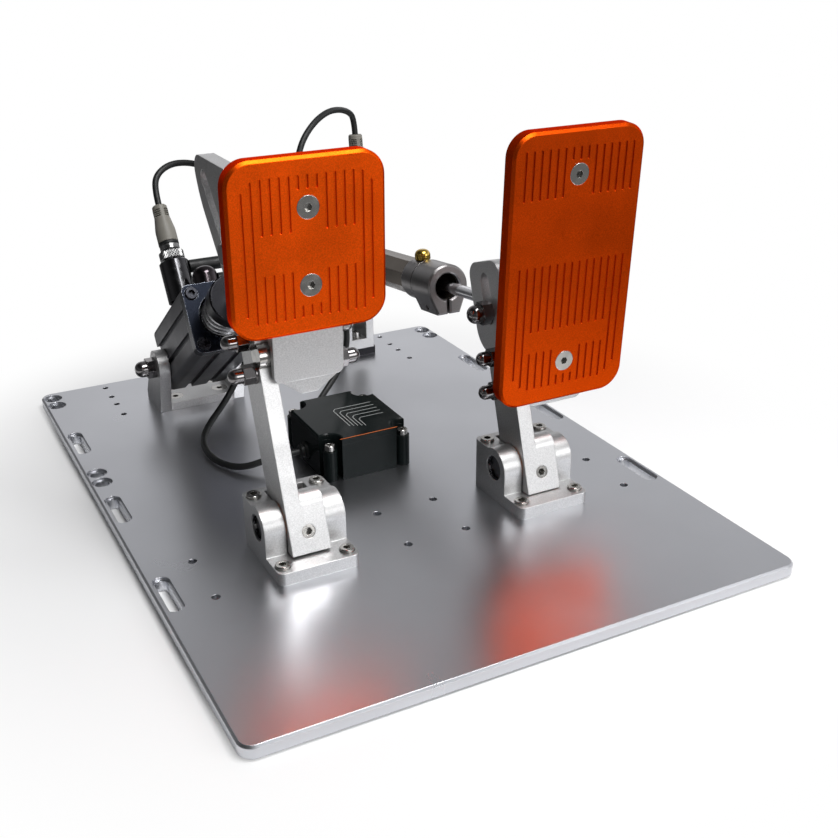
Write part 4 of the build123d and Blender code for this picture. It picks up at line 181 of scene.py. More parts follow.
# Edges in the finishes: rays for a sample, and how alike two directions are on flat ground
EDGE_SAMPLES = 6
SOFT_SAMPLES = 4
FLAT_LEVEL = 0.999

# Camera: it matches the photograph's view
CAMERA_PLACE = (-0.277, -0.60889, 0.3464)
CAMERA_TURN = math.radians(-27.653)
CAMERA_TILT = math.radians(90.0 - 24.482)
CAMERA_ROLL = math.radians(-0.350)
CAMERA_LENS = 48.645
CAMERA_SENSOR = 36.0
CAMERA_NEAR = 0.01

# Floor: greys, and the distances over which it fades for the camera and for other rays
FLOOR_HALF = 4.0
FLOOR_DROP = 0.4 * MM
FLOOR_ROUGHNESS = 0.9
PALE_GREY = (0.92, 0.92, 0.92, 1.0)
DIM_GREY = (0.20, 0.20, 0.20, 1.0)
WHITE = (1.0, 1.0, 1.0, 1.0)
SHOWN_FADE = (0.20, 0.36)
MIRRORED_FADE = (0.32, 0.42)

# Surroundings: height, grey and blue of each band, and how they dim towards the left
SKY_BANDS = (
    (0.0, 0.45, 0.46), (0.13, 1.0, 1.02), (0.30, 1.0, 1.02), (0.47, 0.55, 0.561),
    (0.65, 0.28, 0.2856), (1.0, 0.22, 0.23),
)
SIDE_FADE = (-0.45, 0.15)
SIDE_LEVELS = (0.12, 1.0)

# Lamps: name, place, aim, size and power in watts
LAMPS = (
    ("front", (0.52, -1.15, 0.50), (0.0, -0.05, 0.08), (0.9, 0.5), 4.3),
    ("top", (0.2, -0.45, 1.25), (0.0, 0.0, 0.0), (0.7, 0.5), 14.0),
)


def colour_setting(name, default, description):
    return bpy.props.FloatVectorProperty(
        name=name, description=description, subtype="COLOR", size=3, min=0.0, max=1.0, default=default
    )


def share_setting(name, default, description):
    return bpy.props.FloatProperty(
        name=name, description=description, subtype="FACTOR", min=0.0, max=1.0, default=default
    )


def length_setting(name, default, description):
    return bpy.props.FloatProperty(
        name=name, description=description, subtype="DISTANCE", unit="LENGTH", min=0.0, default=default
    )


class PedalFinishSettings(bpy.types.PropertyGroup):
    """Colours and gloss of the metal, rubber and plastic pieces"""

    plate: colour_setting("Plate", (0.60, 0.61, 0.64), "Satin anodised base plate")
    blasted: colour_setting("Blasted metal", (0.60, 0.60, 0.60), "Bead-blasted brackets and arms")
    pad: colour_setting("Brake pad", (0.87, 0.092, 0.004), "Orange anodised brake pad")
    # The throttle pad's orange is a darker copy of the pad orange: painted shade.
    throttle_pad: colour_setting("Throttle pad", (0.63, 0.062, 0.003), "Orange anodised throttle pad")
    housing: colour_setting("Housing", (0.13, 0.13, 0.14), "Grooved brake housing")
    tube: colour_setting("Tube", (0.125, 0.105, 0.085), "Brown anodised damper tube")
    brass: colour_setting("Brass", (0.62, 0.42, 0.09), "Brass washers and bleed screw")
    box: colour_setting("Box", (0.007, 0.010, 0.010), "Control box case")
    rubber: colour_setting("Rubber", (0.006, 0.007, 0.007), "Cables and hose")
    plug: colour_setting("Plug", (0.205, 0.195, 0.170), "Moulded cable plugs")
    bush: colour_setting("Bush", (0.85, 0.25, 0.03), "Flanged bushes of the pivots")
    plate_gloss: share_setting("Plate roughness", 0.30, "Roughness of the plate")
    blasted_gloss: share_setting("Blasted roughness", 0.42, "Roughness of the blasted metal")


class PedalDetailSettings(bpy.types.PropertyGroup):
    """Sizes of the added pieces"""

    brake_wire: length_setting("Brake spring wire", 3.6 * MM, "Wire of the brake spring")
    brake_coil: length_setting("Brake spring", 26.0 * MM, "Mean diameter of the brake spring")
    throttle_wire: length_setting("Throttle spring wire", 2.0 * MM, "Wire of the throttle spring")
    throttle_coil: length_setting("Throttle spring", 14.0 * MM, "Mean diameter of the throttle spring")
    cable: length_setting("Cable", CABLE_DIAMETER, "Outer diameter of the cables")
    mark_width: length_setting("Lid line", 0.45 * MM, "Width of the thin lines on the box lid")


# Finishes


def scaled(colour, share):
    """The colour made darker or lighter, held at one."""
    return [min(channel * share, 1.0) for channel in colour]


class Finish:
    """A principled material with helpers that add grain, edge wear with painted edge highlights, and bump."""

    def __init__(self, name, colour, metallic, roughness):
        self.material = bpy.data.materials.new(f"{name}_look")
        self.material.use_nodes = True
        self.tree = self.material.node_tree
        self.shader = self.tree.nodes["Principled BSDF"]
        self.shader.inputs["Metallic"].default_value = metallic
        self.shader.inputs["Roughness"].default_value = roughness
        self.shader.inputs["Base Color"].default_value = (*colour, 1.0)
        self.colour = colour
        self.place = self.tree.nodes.new("ShaderNodeTexCoord").outputs["Object"]
        self.height = None

    def node(self, kind, **values):
        made = self.tree.nodes.new(kind)
        for key, value in values.items():
            setattr(made, key, value)
        return made

    def link(self, source, target):
        self.tree.links.new(source, target)

    def noise(self, scale, detail=2.0):
        texture = self.node("ShaderNodeTexNoise")
        texture.inputs["Scale"].default_value = scale
        texture.inputs["Detail"].default_value = detail
        self.link(self.place, texture.inputs["Vector"])
        return texture.outputs["Fac"]

    def ranged(self, source, low, high, from_low=0.3, from_high=0.7):
        mapper = self.node("ShaderNodeMapRange")
        mapper.inputs["From Min"].default_value = from_low
        mapper.inputs["From Max"].default_value = from_high
        mapper.inputs["To Min"].default_value = low
        mapper.inputs["To Max"].default_value = high
        self.link(source, mapper.inputs["Value"])
        return mapper.outputs["Result"]

    def shine(self, level):
        self.shader.inputs["Specular IOR Level"].default_value = level

    def vary_roughness(self, source, low, high):
        self.link(self.ranged(source, low, high), self.shader.inputs["Roughness"])

    def vary_colour(self, source, dark, light):
        """Mixes two shades of the base colour by the source."""
        mix = self.node("ShaderNodeMix", data_type="RGBA")
        mix.inputs["A"].default_value = (*scaled(self.colour, dark), 1.0)
        mix.inputs["B"].default_value = (*scaled(self.colour, light), 1.0)
        self.link(self.ranged(source, 0.0, 1.0), mix.inputs["Factor"])
        self.link(mix.outputs["Result"], self.shader.inputs["Base Color"])
        return mix.outputs["Result"]

    def edge_mask(self, radius, sharpness):
        """One along sharp edges and nought on flat ground."""
        bevel = self.node("ShaderNodeBevel", samples=EDGE_SAMPLES)
        bevel.inputs["Radius"].default_value = radius
        ground = self.node("ShaderNodeNewGeometry")
        dot = self.node("ShaderNodeVectorMath", operation="DOT_PRODUCT")
        self.link(bevel.outputs["Normal"], dot.inputs[0])
        self.link(ground.outputs["Normal"], dot.inputs[1])
        return self.ranged(dot.outputs["Value"], 1.0, 0.0, sharpness, FLAT_LEVEL)

    def edge_wear_and_highlight(self, base, worn_and_lit, radius, sharpness=0.93):
        """Paints sharp edges a lighter colour: partly where the coat is worn thin, partly a painted highlight.
        """
        mix = self.node("ShaderNodeMix", data_type="RGBA")
        mix.inputs["B"].default_value = (*worn_and_lit, 1.0)
        self.link(base, mix.inputs["A"])
        self.link(self.edge_mask(radius, sharpness), mix.inputs["Factor"])
        self.link(mix.outputs["Result"], self.shader.inputs["Base Color"])

    def other_beyond(self, value, level, base, colour):
        """Gives another colour to the places where the value is over the level."""
        test = self.node("ShaderNodeMath", operation="GREATER_THAN")
        test.inputs[1].default_value = level
        self.link(value, test.inputs[0])
        mix = self.node("ShaderNodeMix", data_type="RGBA")
        mix.inputs["B"].default_value = (*colour, 1.0)
        self.link(base, mix.inputs["A"])
        self.link(test.outputs["Value"], mix.inputs["Factor"])
        self.link(mix.outputs["Result"], self.shader.inputs["Base Color"])

    def bump(self, source, strength, distance):
        relief = self.node("ShaderNodeBump")
        relief.inputs["Strength"].default_value = strength
        relief.inputs["Distance"].default_value = distance
        self.link(source, relief.inputs["Height"])
        if self.height is not None:
            self.link(self.height, relief.inputs["Normal"])
        self.height = relief.outputs["Normal"]
        self.link(self.height, self.shader.inputs["Normal"])

    def soft_edges(self, radius):
        """Rounds the light on sharp edges, under any bump that follows."""
        bevel = self.node("ShaderNodeBevel", samples=SOFT_SAMPLES)
        bevel.inputs["Radius"].default_value = radius
        self.height = bevel.outputs["Normal"]
        self.link(self.height, self.shader.inputs["Normal"])


def plate_finish(settings):
    roughness = settings.plate_gloss
    finish = Finish("satin_plate", settings.plate, metallic=1.0, roughness=roughness)
    finish.soft_edges(radius=0.6 * MM)
    clouds = finish.noise(scale=9.0, detail=3.0)
    finish.vary_roughness(clouds, low=roughness - 0.03, high=roughness + 0.05)
    finish.bump(finish.noise(scale=2600.0), strength=0.10, distance=0.04 * MM)
    finish.vary_colour(finish.noise(scale=14.0, detail=4.0), dark=0.97, light=1.03)


def blasted_finish(name, colour, roughness, grain, speckle):
    finish = Finish(name, colour, metallic=1.0, roughness=roughness)
    finish.soft_edges(radius=0.8 * MM)
    clouds = finish.noise(scale=60.0, detail=3.0)
    finish.vary_roughness(clouds, low=roughness - 0.04, high=roughness + 0.06)
    specks = finish.noise(scale=1500.0, detail=1.0)
    shade = finish.vary_colour(specks, dark=1.0 - speckle, light=1.0 + speckle)
    # Sharp edges painted a brighter copy of the metal: painted highlight.
    finish.edge_wear_and_highlight(shade, scaled(colour, 1.25), radius=0.6 * MM)
    finish.bump(finish.noise(scale=1500.0), strength=grain, distance=0.08 * MM)


def pad_finish(name, colour):
    """Orange anodised metal whose grazing reflections stay orange."""
    finish = Finish(name, colour, metallic=1.0, roughness=0.34)
    finish.soft_edges(radius=0.5 * MM)
    finish.shader.inputs["Specular Tint"].default_value = (0.90, 0.22, 0.05, 1.0)
    finish.vary_roughness(finish.noise(scale=35.0, detail=3.0), low=0.36, high=0.46)
    shade = finish.vary_colour(finish.noise(scale=1500.0, detail=1.0), dark=0.86, light=1.16)
    # Sharp edges painted a slightly brighter orange: painted highlight.
    finish.edge_wear_and_highlight(shade, scaled(colour, 1.04), radius=0.6 * MM, sharpness=0.90)
    finish.bump(finish.noise(scale=1300.0), strength=0.20, distance=0.06 * MM)


def housing_finish(name, colour, roughness, edge):
    finish = Finish(name, colour, metallic=0.9, roughness=roughness)
    finish.soft_edges(radius=0.5 * MM)
    clouds = finish.noise(scale=50.0, detail=3.0)
    finish.vary_roughness(clouds, low=roughness - 0.05, high=roughness + 0.06)
    shade = finish.vary_colour(finish.noise(scale=26.0, detail=4.0), dark=0.92, light=1.08)
    # Sharp edges painted the given lighter colour: worn coat and painted highlight.
    finish.edge_wear_and_highlight(shade, edge, radius=0.5 * MM, sharpness=0.90)
    finish.bump(finish.noise(scale=1800.0, detail=1.0), strength=0.08, distance=0.05 * MM)


def polished_finish(name, colour, roughness):
    finish = Finish(name, colour, metallic=1.0, roughness=roughness)
    finish.soft_edges(radius=0.4 * MM)
    clouds = finish.noise(scale=240.0, detail=3.0)
    finish.vary_roughness(clouds, low=roughness * 0.6, high=roughness * 1.6)
    finish.vary_colour(finish.noise(scale=90.0, detail=3.0), dark=0.92, light=1.05)


def plastic_finish(name, colour, roughness, grain, scale, shine=0.4):
    finish = Finish(name, colour, metallic=0.0, roughness=roughness)
    finish.soft_edges(radius=0.5 * MM)
    finish.shine(shine)
    clouds = finish.noise(scale=70.0, detail=3.0)
    finish.vary_roughness(clouds, low=roughness - 0.05, high=roughness + 0.07)
    finish.vary_colour(finish.noise(scale=45.0, detail=4.0), dark=0.90, light=1.12)
    finish.bump(finish.noise(scale), strength=grain, distance=0.06 * MM)


def fitting_finish(name, brass, dome):
    """A brass washer under a dark domed nut, told apart by their height on the housing."""
    finish = Finish(name, brass, metallic=1.0, roughness=0.16)
    finish.soft_edges(radius=0.4 * MM)
    finish.vary_roughness(finish.noise(scale=240.0, detail=3.0), low=0.10, high=0.22)
    up = unit_vectors(BRAKE_SLOPE)[1]
    height = finish.node("ShaderNodeVectorMath", operation="DOT_PRODUCT")
    height.inputs[1].default_value = up
    finish.link(finish.place, height.inputs[0])
    shade = finish.vary_colour(finish.noise(scale=90.0, detail=3.0), dark=0.92, light=1.05)
    washer_top = BRAKE_FOOT.dot(up) + FITTING_SEAT
    finish.other_beyond(height.outputs["Value"], washer_top, shade, dome)


def bush_finish(name, flange, sleeve):
    """Orange flanges beside the arm, and near-black painted shade on the sleeves inside the bracket's bores.
    """
    finish = Finish(name, flange, metallic=0.0, roughness=0.42)
    finish.shine(0.3)
    axes = finish.node("ShaderNodeSeparateXYZ")
    finish.link(finish.place, axes.inputs["Vector"])
    value = axes.outputs["X"]
    for offset in (0.0, PIVOT_X):
        less = finish.node("ShaderNodeMath", operation="SUBTRACT")
        less.inputs[1].default_value = offset
        finish.link(value, less.inputs[0])
        whole = finish.node("ShaderNodeMath", operation="ABSOLUTE")
        finish.link(less.outputs["Value"], whole.inputs[0])
        value = whole.outputs["Value"]
    shade = finish.vary_colour(finish.noise(scale=45.0, detail=4.0), dark=0.90, light=1.12)
    # Past the flange face the bush takes the sleeve colour: painted shade inside the bores.
    finish.other_beyond(value, BUSH_FLANGE_FACE, shade, sleeve)
    finish.bump(finish.noise(scale=1200.0), strength=0.08, distance=0.06 * MM)


def cable_finish(name, colour):
    finish = Finish(name, colour, metallic=0.0, roughness=0.48)
    finish.shine(0.45)
    finish.vary_roughness(finish.noise(scale=120.0, detail=3.0), low=0.40, high=0.58)
    finish.bump(finish.noise(scale=900.0), strength=0.12, distance=0.05 * MM)


def board_finish(name, colour):
    finish = Finish(name, colour, metallic=0.0, roughness=0.4)
    finish.vary_colour(finish.noise(scale=700.0, detail=1.0), dark=0.7, light=1.3)
    finish.bump(finish.noise(scale=900.0, detail=1.0), strength=0.2, distance=0.1 * MM)


NODE_FINISHES = {
    "satin_plate": ["base_plate"],
    "shaded_blasted_bracket": [
        "brake_bracket", "throttle_bracket", "brake_unit_bracket", "throttle_unit_bracket",
    ],
    "blasted_arm": ["brake_arm", "throttle_arm", "brake_pad_mount", "throttle_pad_mount"],
    "blasted_clamp": ["throttle_clamp", "throttle_collar"],
    "brake_orange": ["brake_pad"],
    "shaded_throttle_orange": ["throttle_pad"],
    "dark_housing": ["brake_housing", "brake_axle", "throttle_axle"],
    "blue_black_plate": ["brake_end_plate"],
    "black_foot": ["throttle_bracket_foot", "throttle_rear_block"],
    "dark_cap": ["brake_spring_seat"],
    "brown_tube": ["throttle_tube"],
    "stainless": [
        "bracket_screws", "rear_foot_screws", "control_box_screws", "brake_pedal_screws",
        "throttle_pedal_screws", "pad_angle_bush", "throttle_clamp_screw",
    ],
    "black_screw": ["brake_end_plate_screws"],
    "dark_chrome": [
        "rear_pivot_studs", "brake_mount_studs", "throttle_mount_studs", "brake_rod_bolt",
        "throttle_rod_bolt",
    ],
    "bright_rod": ["brake_rod", "throttle_rod", "brake_rod_end", "throttle_rod_end"],
    "dark_spring": ["retaining_rings"],
    "black_chrome": ["brake_sensor", "throttle_sensor"],
    "spring_wire": ["brake_spring", "throttle_spring"],
    "polished_brass": ["throttle_bleed_screw"],
    "banjo_fitting": ["hose_fitting"],
    "box_case": ["control_box_body", "control_box_lid"],
    "black_rubber": [
        "cable_grommets", "brake_piston_seal", "throttle_o_ring", "brake_cable", "throttle_cable",
        "brake_cable_loop", "throttle_cable_loop", "brake_hose",
    ],
    "grey_plug": ["brake_sensor_plug", "throttle_sensor_plug"],
    "orange_bush_bore_shade": ["pivot_bushes"],
    "circuit_board": ["circuit_board"],
}


def make_finishes(settings):
    """Makes every finish under its own name with _look after it."""
    blasted = settings.blasted
    gloss = settings.blasted_gloss
    plate_finish(settings)
    # The brackets take the blasted metal at 0.92: a darker copy standing for painted shade.
    blasted_finish("shaded_blasted_bracket", scaled(blasted, 0.92), gloss, grain=0.30, speckle=0.10)
    blasted_finish("blasted_arm", blasted, gloss, grain=0.40, speckle=0.12)
    blasted_finish("blasted_clamp", (0.27, 0.26, 0.26), roughness=0.32, grain=0.12, speckle=0.06)
    pad_finish("brake_orange", settings.pad)
    # The throttle pad takes the darker copy of the orange: painted shade.
    pad_finish("shaded_throttle_orange", settings.throttle_pad)
    # Each edge colour below is painted on sharp edges: worn coat and painted highlight.
    housing_finish("dark_housing", settings.housing, roughness=0.40, edge=(0.42, 0.42, 0.44))
    housing_finish("blue_black_plate", (0.007, 0.009, 0.015), roughness=0.24, edge=(0.35, 0.37, 0.42))
    housing_finish("black_foot", (0.018, 0.018, 0.020), roughness=0.38, edge=(0.20, 0.20, 0.21))
    housing_finish("dark_cap", (0.012, 0.012, 0.014), roughness=0.30, edge=(0.12, 0.12, 0.13))
    housing_finish("brown_tube", settings.tube, roughness=0.24, edge=(0.36, 0.32, 0.28))
    polished_finish("stainless", (0.44, 0.43, 0.41), roughness=0.16)
    polished_finish("black_screw", (0.035, 0.036, 0.042), roughness=0.25)
    polished_finish("dark_chrome", (0.26, 0.25, 0.25), roughness=0.10)
    polished_finish("bright_rod", (0.70, 0.70, 0.72), roughness=0.12)
    polished_finish("spring_wire", (0.50, 0.50, 0.51), roughness=0.22)
    polished_finish("black_chrome", (0.10, 0.10, 0.105), roughness=0.14)
    polished_finish("polished_brass", settings.brass, roughness=0.16)
    polished_finish("plug_ring", (0.34, 0.34, 0.34), roughness=0.22)
    polished_finish("dark_spring", (0.09, 0.09, 0.10), roughness=0.26)
    fitting_finish("banjo_fitting", settings.brass, dome=(0.07, 0.06, 0.065))
    # The sleeve colour is near-black painted shade for the bush inside its bore.
    bush_finish("orange_bush_bore_shade", settings.bush, sleeve=(0.02, 0.02, 0.02))
    plastic_finish("box_case", settings.box, roughness=0.18, grain=0.05, scale=1500.0, shine=0.12)
    plastic_finish("grey_plug", settings.plug, roughness=0.45, grain=0.12, scale=1200.0)
    plastic_finish("pale_mark", (0.55, 0.57, 0.56), roughness=0.5, grain=0.05, scale=1500.0)
    plastic_finish("orange_mark", (0.75, 0.16, 0.02), roughness=0.45, grain=0.05, scale=1500.0)
    cable_finish("black_rubber", settings.rubber)
    board_finish("circuit_board", (0.02, 0.13, 0.05))


def give_finish(piece, name):
    piece.data.materials.clear()
    piece.data.materials.append(bpy.data.materials[f"{name}_look"])


class PEDALS_OT_finishes(bpy.types.Operator):
    """Makes the finishes and gives every solid of the frame its own"""

    bl_idname = "pedals.finishes"
    bl_label = "Finishes"

    def execute(self, context):
        dressed = {node for nodes in NODE_FINISHES.values() for node in nodes}
        bare = sorted(set(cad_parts) - dressed)
        if bare:
            raise RuntimeError(f"no finish for {', '.join(bare)}")
        make_finishes(context.scene.pedal_finishes)
        for finish, nodes in NODE_FINISHES.items():
            for node in nodes:
                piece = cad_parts[node]
                for slot in piece.material_slots:
                    slot.material = bpy.data.materials[f"{finish}_look"]
        return {"FINISHED"}


# Camera, floor and light


class PEDALS_OT_camera(bpy.types.Operator):
    """Places the camera in front and to the left of the plate, looking down at it"""

    bl_idname = "pedals.camera"
    bl_label = "Camera"

    def execute(self, context):
        data = bpy.data.cameras.new("camera")
        data.sensor_width = CAMERA_SENSOR
        data.lens = CAMERA_LENS
        data.clip_start = CAMERA_NEAR
        camera = bpy.data.objects.new("camera", data)
        turn = Matrix.Rotation(CAMERA_TURN, 4, "Z")
        tilt = Matrix.Rotation(CAMERA_TILT, 4, "X")
        roll = Matrix.Rotation(CAMERA_ROLL, 4, "Z")
        camera.matrix_world = Matrix.Translation(CAMERA_PLACE) @ turn @ tilt @ roll
        context.scene.collection.objects.link(camera)
        context.scene.camera = camera
        return {"FINISHED"}


def area_light(name, place, aim, size, power):
    data = bpy.data.lights.new(name, "AREA")
    data.shape = "RECTANGLE"
    data.size, data.size_y = size
    data.energy = power
    lamp = bpy.data.objects.new(name, data)
    lamp.location = place
    lamp.rotation_euler = (Vector(aim) - Vector(place)).to_track_quat("-Z", "Y").to_euler()
    bpy.context.scene.collection.objects.link(lamp)


def mixed(tree, share, first, second):
    """The output that goes from the first shader to the second by the share."""
    mix = tree.nodes.new("ShaderNodeMixShader")
    tree.links.new(share, mix.inputs["Fac"])
    tree.links.new(first, mix.inputs[1])
    tree.links.new(second, mix.inputs[2])
    return mix.outputs["Shader"]


def faded(tree, value, limits, levels=(0.0, 1.0), steps="LINEAR"):
    """The output that goes from one level to the other between the value's limits."""
    fade = tree.nodes.new("ShaderNodeMapRange")
    fade.interpolation_type = steps
    fade.inputs["From Min"].default_value = limits[0]
    fade.inputs["From Max"].default_value = limits[1]
    fade.inputs["To Min"].default_value = levels[0]
    fade.inputs["To Max"].default_value = levels[1]
    tree.links.new(value, fade.inputs["Value"])
    return fade.outputs["Result"]


def floor_material():
    """Pale near the set and white further out for the camera, and dim further out for other rays."""
    material = bpy.data.materials.new("floor")
    material.use_nodes = True
    tree = material.node_tree
    near = tree.nodes["Principled BSDF"]
    near.inputs["Base Color"].default_value = PALE_GREY
    near.inputs["Roughness"].default_value = FLOOR_ROUGHNESS
    white = tree.nodes.new("ShaderNodeEmission")
    pale = tree.nodes.new("ShaderNodeBsdfDiffuse")
    pale.inputs["Color"].default_value = PALE_GREY
    dim = tree.nodes.new("ShaderNodeBsdfDiffuse")
    dim.inputs["Color"].default_value = DIM_GREY
    place = tree.nodes.new("ShaderNodeTexCoord")
    reach = tree.nodes.new("ShaderNodeVectorMath")
    reach.operation = "LENGTH"
    tree.links.new(place.outputs["Object"], reach.inputs[0])
    distance = reach.outputs["Value"]
    shown_share = faded(tree, distance, SHOWN_FADE, steps="SMOOTHSTEP")
    shown = mixed(tree, shown_share, near.outputs["BSDF"], white.outputs["Emission"])
    dim_share = faded(tree, distance, MIRRORED_FADE)
    mirrored = mixed(tree, dim_share, pale.outputs["BSDF"], dim.outputs["BSDF"])
    rays = tree.nodes.new("ShaderNodeLightPath")
    surface = mixed(tree, rays.outputs["Is Camera Ray"], mirrored, shown)
    tree.links.new(surface, tree.nodes["Material Output"].inputs["Surface"])
    return material


def surroundings():
    """White for the camera, and for other rays grey bands by height that dim towards the left."""
    world = bpy.data.worlds.new("surroundings")
    world.use_nodes = True
    tree = world.node_tree
    nodes, links = tree.nodes, tree.links
    nodes.clear()
    out = nodes.new("ShaderNodeOutputWorld")
    seen = nodes.new("ShaderNodeBackground")
    seen.inputs["Color"].default_value = WHITE
    lit = nodes.new("ShaderNodeBackground")
    direction = nodes.new("ShaderNodeTexCoord")
    axes = nodes.new("ShaderNodeSeparateXYZ")
    links.new(direction.outputs["Generated"], axes.inputs["Vector"])
    ramp = nodes.new("ShaderNodeValToRGB")
    bands = ramp.color_ramp.elements
    bands.remove(bands[1])
    for number, (height, grey, blue) in enumerate(SKY_BANDS):
        band = bands.new(height) if number else bands[0]
        band.position = height
        band.color = (grey, grey, blue, 1.0)
    links.new(axes.outputs["Z"], ramp.inputs["Fac"])
    dimmed = nodes.new("ShaderNodeVectorMath")
    dimmed.operation = "SCALE"
    links.new(ramp.outputs["Color"], dimmed.inputs[0])
    links.new(faded(tree, axes.outputs["X"], SIDE_FADE, SIDE_LEVELS), dimmed.inputs["Scale"])
    links.new(dimmed.outputs["Vector"], lit.inputs["Color"])
    rays = nodes.new("ShaderNodeLightPath")
    for_camera, for_others = seen.outputs["Background"], lit.outputs["Background"]
    links.new(mixed(tree, rays.outputs["Is Camera Ray"], for_others, for_camera), out.inputs["Surface"])
    return world


class PEDALS_OT_stage(bpy.types.Operator):
    """Adds the pale floor, the pale surroundings and the soft studio light"""

    bl_idname = "pedals.stage"
    bl_label = "Stage"

    def execute(self, context):
        scene = context.scene
        sheet = bmesh.new()
        bmesh.ops.create_grid(sheet, x_segments=1, y_segments=1, size=FLOOR_HALF)
        mesh = bpy.data.meshes.new("floor")
        sheet.to_mesh(mesh)
        sheet.free()
        mesh.transform(Matrix.Translation((0.0, 0.0, -FLOOR_DROP)))
        mesh.materials.append(floor_material())
        floor = bpy.data.objects.new("floor", mesh)
        scene.collection.objects.link(floor)
        scene.world = surroundings()
        for lamp in LAMPS:
            area_light(*lamp)
        scene.view_settings.view_transform = "Standard"
        return {"FINISHED"}


# Shapes


def new_piece(name, mesh_or_bmesh, finish, body, replaced=()):
    """Puts a finished mesh in the scene in place of the named solids, on its body if it has one body."""
    if isinstance(mesh_or_bmesh, bmesh.types.BMesh):
        mesh = bpy.data.meshes.new(name)
        mesh_or_bmesh.to_mesh(mesh)
        mesh_or_bmesh.free()
    else:
        mesh = mesh_or_bmesh
    piece = bpy.data.objects.new(name, mesh)
    bpy.context.scene.collection.objects.link(piece)
    give_finish(piece, finish)
    if body:
        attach(piece, body)
    if replaced:
        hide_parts(*replaced)
    return piece


def placed(origin, direction, side=(1.0, 0.0, 0.0)):
    """A frame at the origin whose Z follows the direction and whose X keeps near the side."""
    up = Vector(direction).normalized()
    across = Vector(side) - up * up.dot(Vector(side))
    across.normalize()
    turned = Matrix((across, up.cross(across), up)).transposed().to_4x4()
    return Matrix.Translation(Vector(origin)) @ turned


def turned_shape(profile, steps=48):
    """A closed turned form: the profile is (radius, height) from axis to axis."""
    shape = bmesh.new()
    points = [shape.verts.new((radius, 0.0, height)) for radius, height in profile]
    edges = [shape.edges.new(pair) for pair in zip(points, points[1:])]
    bmesh.ops.spin(
        shape, geom=points + edges, axis=(0.0, 0.0, 1.0), cent=(0.0, 0.0, 0.0), dvec=(0.0, 0.0, 0.0),
        angle=math.tau, steps=steps, use_merge=True, use_duplicate=False,
    )
    bmesh.ops.remove_doubles(shape, verts=shape.verts, dist=MERGE_DISTANCE)
    bmesh.ops.recalc_face_normals(shape, faces=shape.faces)
    return shape


def shade_by_angle(piece, degrees):
    """Smooth shading with a sharp edge wherever two faces meet at more than the angle."""
    for polygon in piece.data.polygons:
        polygon.use_smooth = True
    shape = bmesh.new()
    shape.from_mesh(piece.data)
    for edge in shape.edges:
        if len(edge.link_faces) == 2 and edge.calc_face_angle(0.0) > math.radians(degrees):
            edge.smooth = False
    shape.to_mesh(piece.data)
    shape.free()


def tube_curve(name, kind, points, diameter, roundness):
    """A closed round tube along one spline of the kind, through or near the points, in metres."""
    curve = bpy.data.curves.new(name, "CURVE")
    curve.dimensions = "3D"
    curve.bevel_depth = diameter / 2
    curve.bevel_resolution = roundness
    curve.use_fill_caps = True
    spline = curve.splines.new(kind)
    spline.points.add(len(points) - 1)
    for point, place in zip(spline.points, points):
        point.co = (*place, 1.0)
    return curve


def cable_curve(name, points, diameter):
    """A smooth tube with the points as its control points."""
    curve = tube_curve(name, "NURBS", points, diameter, CABLE_ROUNDNESS)
    spline = curve.splines[0]
    spline.order_u = 3
    spline.use_endpoint_u = True
    spline.resolution_u = CABLE_STEPS
    return curve


def mesh_of(curve):
    """The mesh that a curve shows, in place of the curve."""
    guide = bpy.data.objects.new(curve.name, curve)
    bpy.context.scene.collection.objects.link(guide)
    bpy.context.view_layer.update()
    mesh = bpy.data.meshes.new_from_object(guide.evaluated_get(bpy.context.evaluated_depsgraph_get()))
    bpy.data.objects.remove(guide)
    bpy.data.curves.remove(curve)
    return mesh


class PEDALS_OT_cables(bpy.types.Operator):
    """Lays the two sensor cables from their plugs to the box"""

    bl_idname = "pedals.cables"
    bl_label = "Cables"

    def execute(self, context):
        diameter = context.scene.pedal_details.cable
        brake_route, throttle_route = BRAKE_LOOP + BRAKE_RUN, THROTTLE_LOOP + THROTTLE_RUN
        rows = (
            ("brake", brake_route, BRAKE_CABLE_LENGTH, BRAKE_BEND_TOP, BRAKE_BEND_LOW),
            ("throttle", throttle_route, THROTTLE_CABLE_LENGTH, THROTTLE_BEND_TOP, THROTTLE_BEND_LOW),
        )
        for name, points, length, bend_top, bend_low in rows:
            route = [Vector(point) * MM for point in points]
            line = mesh_of(cable_curve(f"{name}_line", route, 0.0))
            tube = mesh_of(cable_curve(f"{name}_tube", route, diameter))
            cable = new_piece(
                f"{name}_sensor_cable", tube, "black_rubber", None,
                (f"{name}_cable_loop", f"{name}_cable"),
            )
            shade_by_angle(cable, degrees=60.0)
            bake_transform(cable)
        return {"FINISHED"}


def unit_vectors(slope):
    """The way along a cylinder's line to its pedal, and the way up from it."""
    return Vector((0.0, -math.cos(slope), math.sin(slope))), Vector((0.0, math.sin(slope), math.cos(slope)))


def coil_mesh(name, wire, diameter, length):
    """A compression spring along Z with a closed turn at each end."""
    closed_pitch = wire * CLOSED_PITCH_SHARE
    open_turns = SPRING_TURNS - 2.0
    rows = []
    for step in range(SPRING_TURNS * SPRING_STEPS + 1):
        turn = step / SPRING_STEPS
        inner = min(max(turn - 1.0, 0.0), open_turns) / open_turns
        ends = min(turn, 1.0) + max(turn - SPRING_TURNS + 1.0, 0.0)
        height = ends * closed_pitch + inner * (length - 2 * closed_pitch)
        angle = math.tau * turn
        rows.append((math.cos(angle) * diameter / 2, math.sin(angle) * diameter / 2, height))
    return mesh_of(tube_curve(name, "POLY", rows, wire, SPRING_ROUNDNESS))


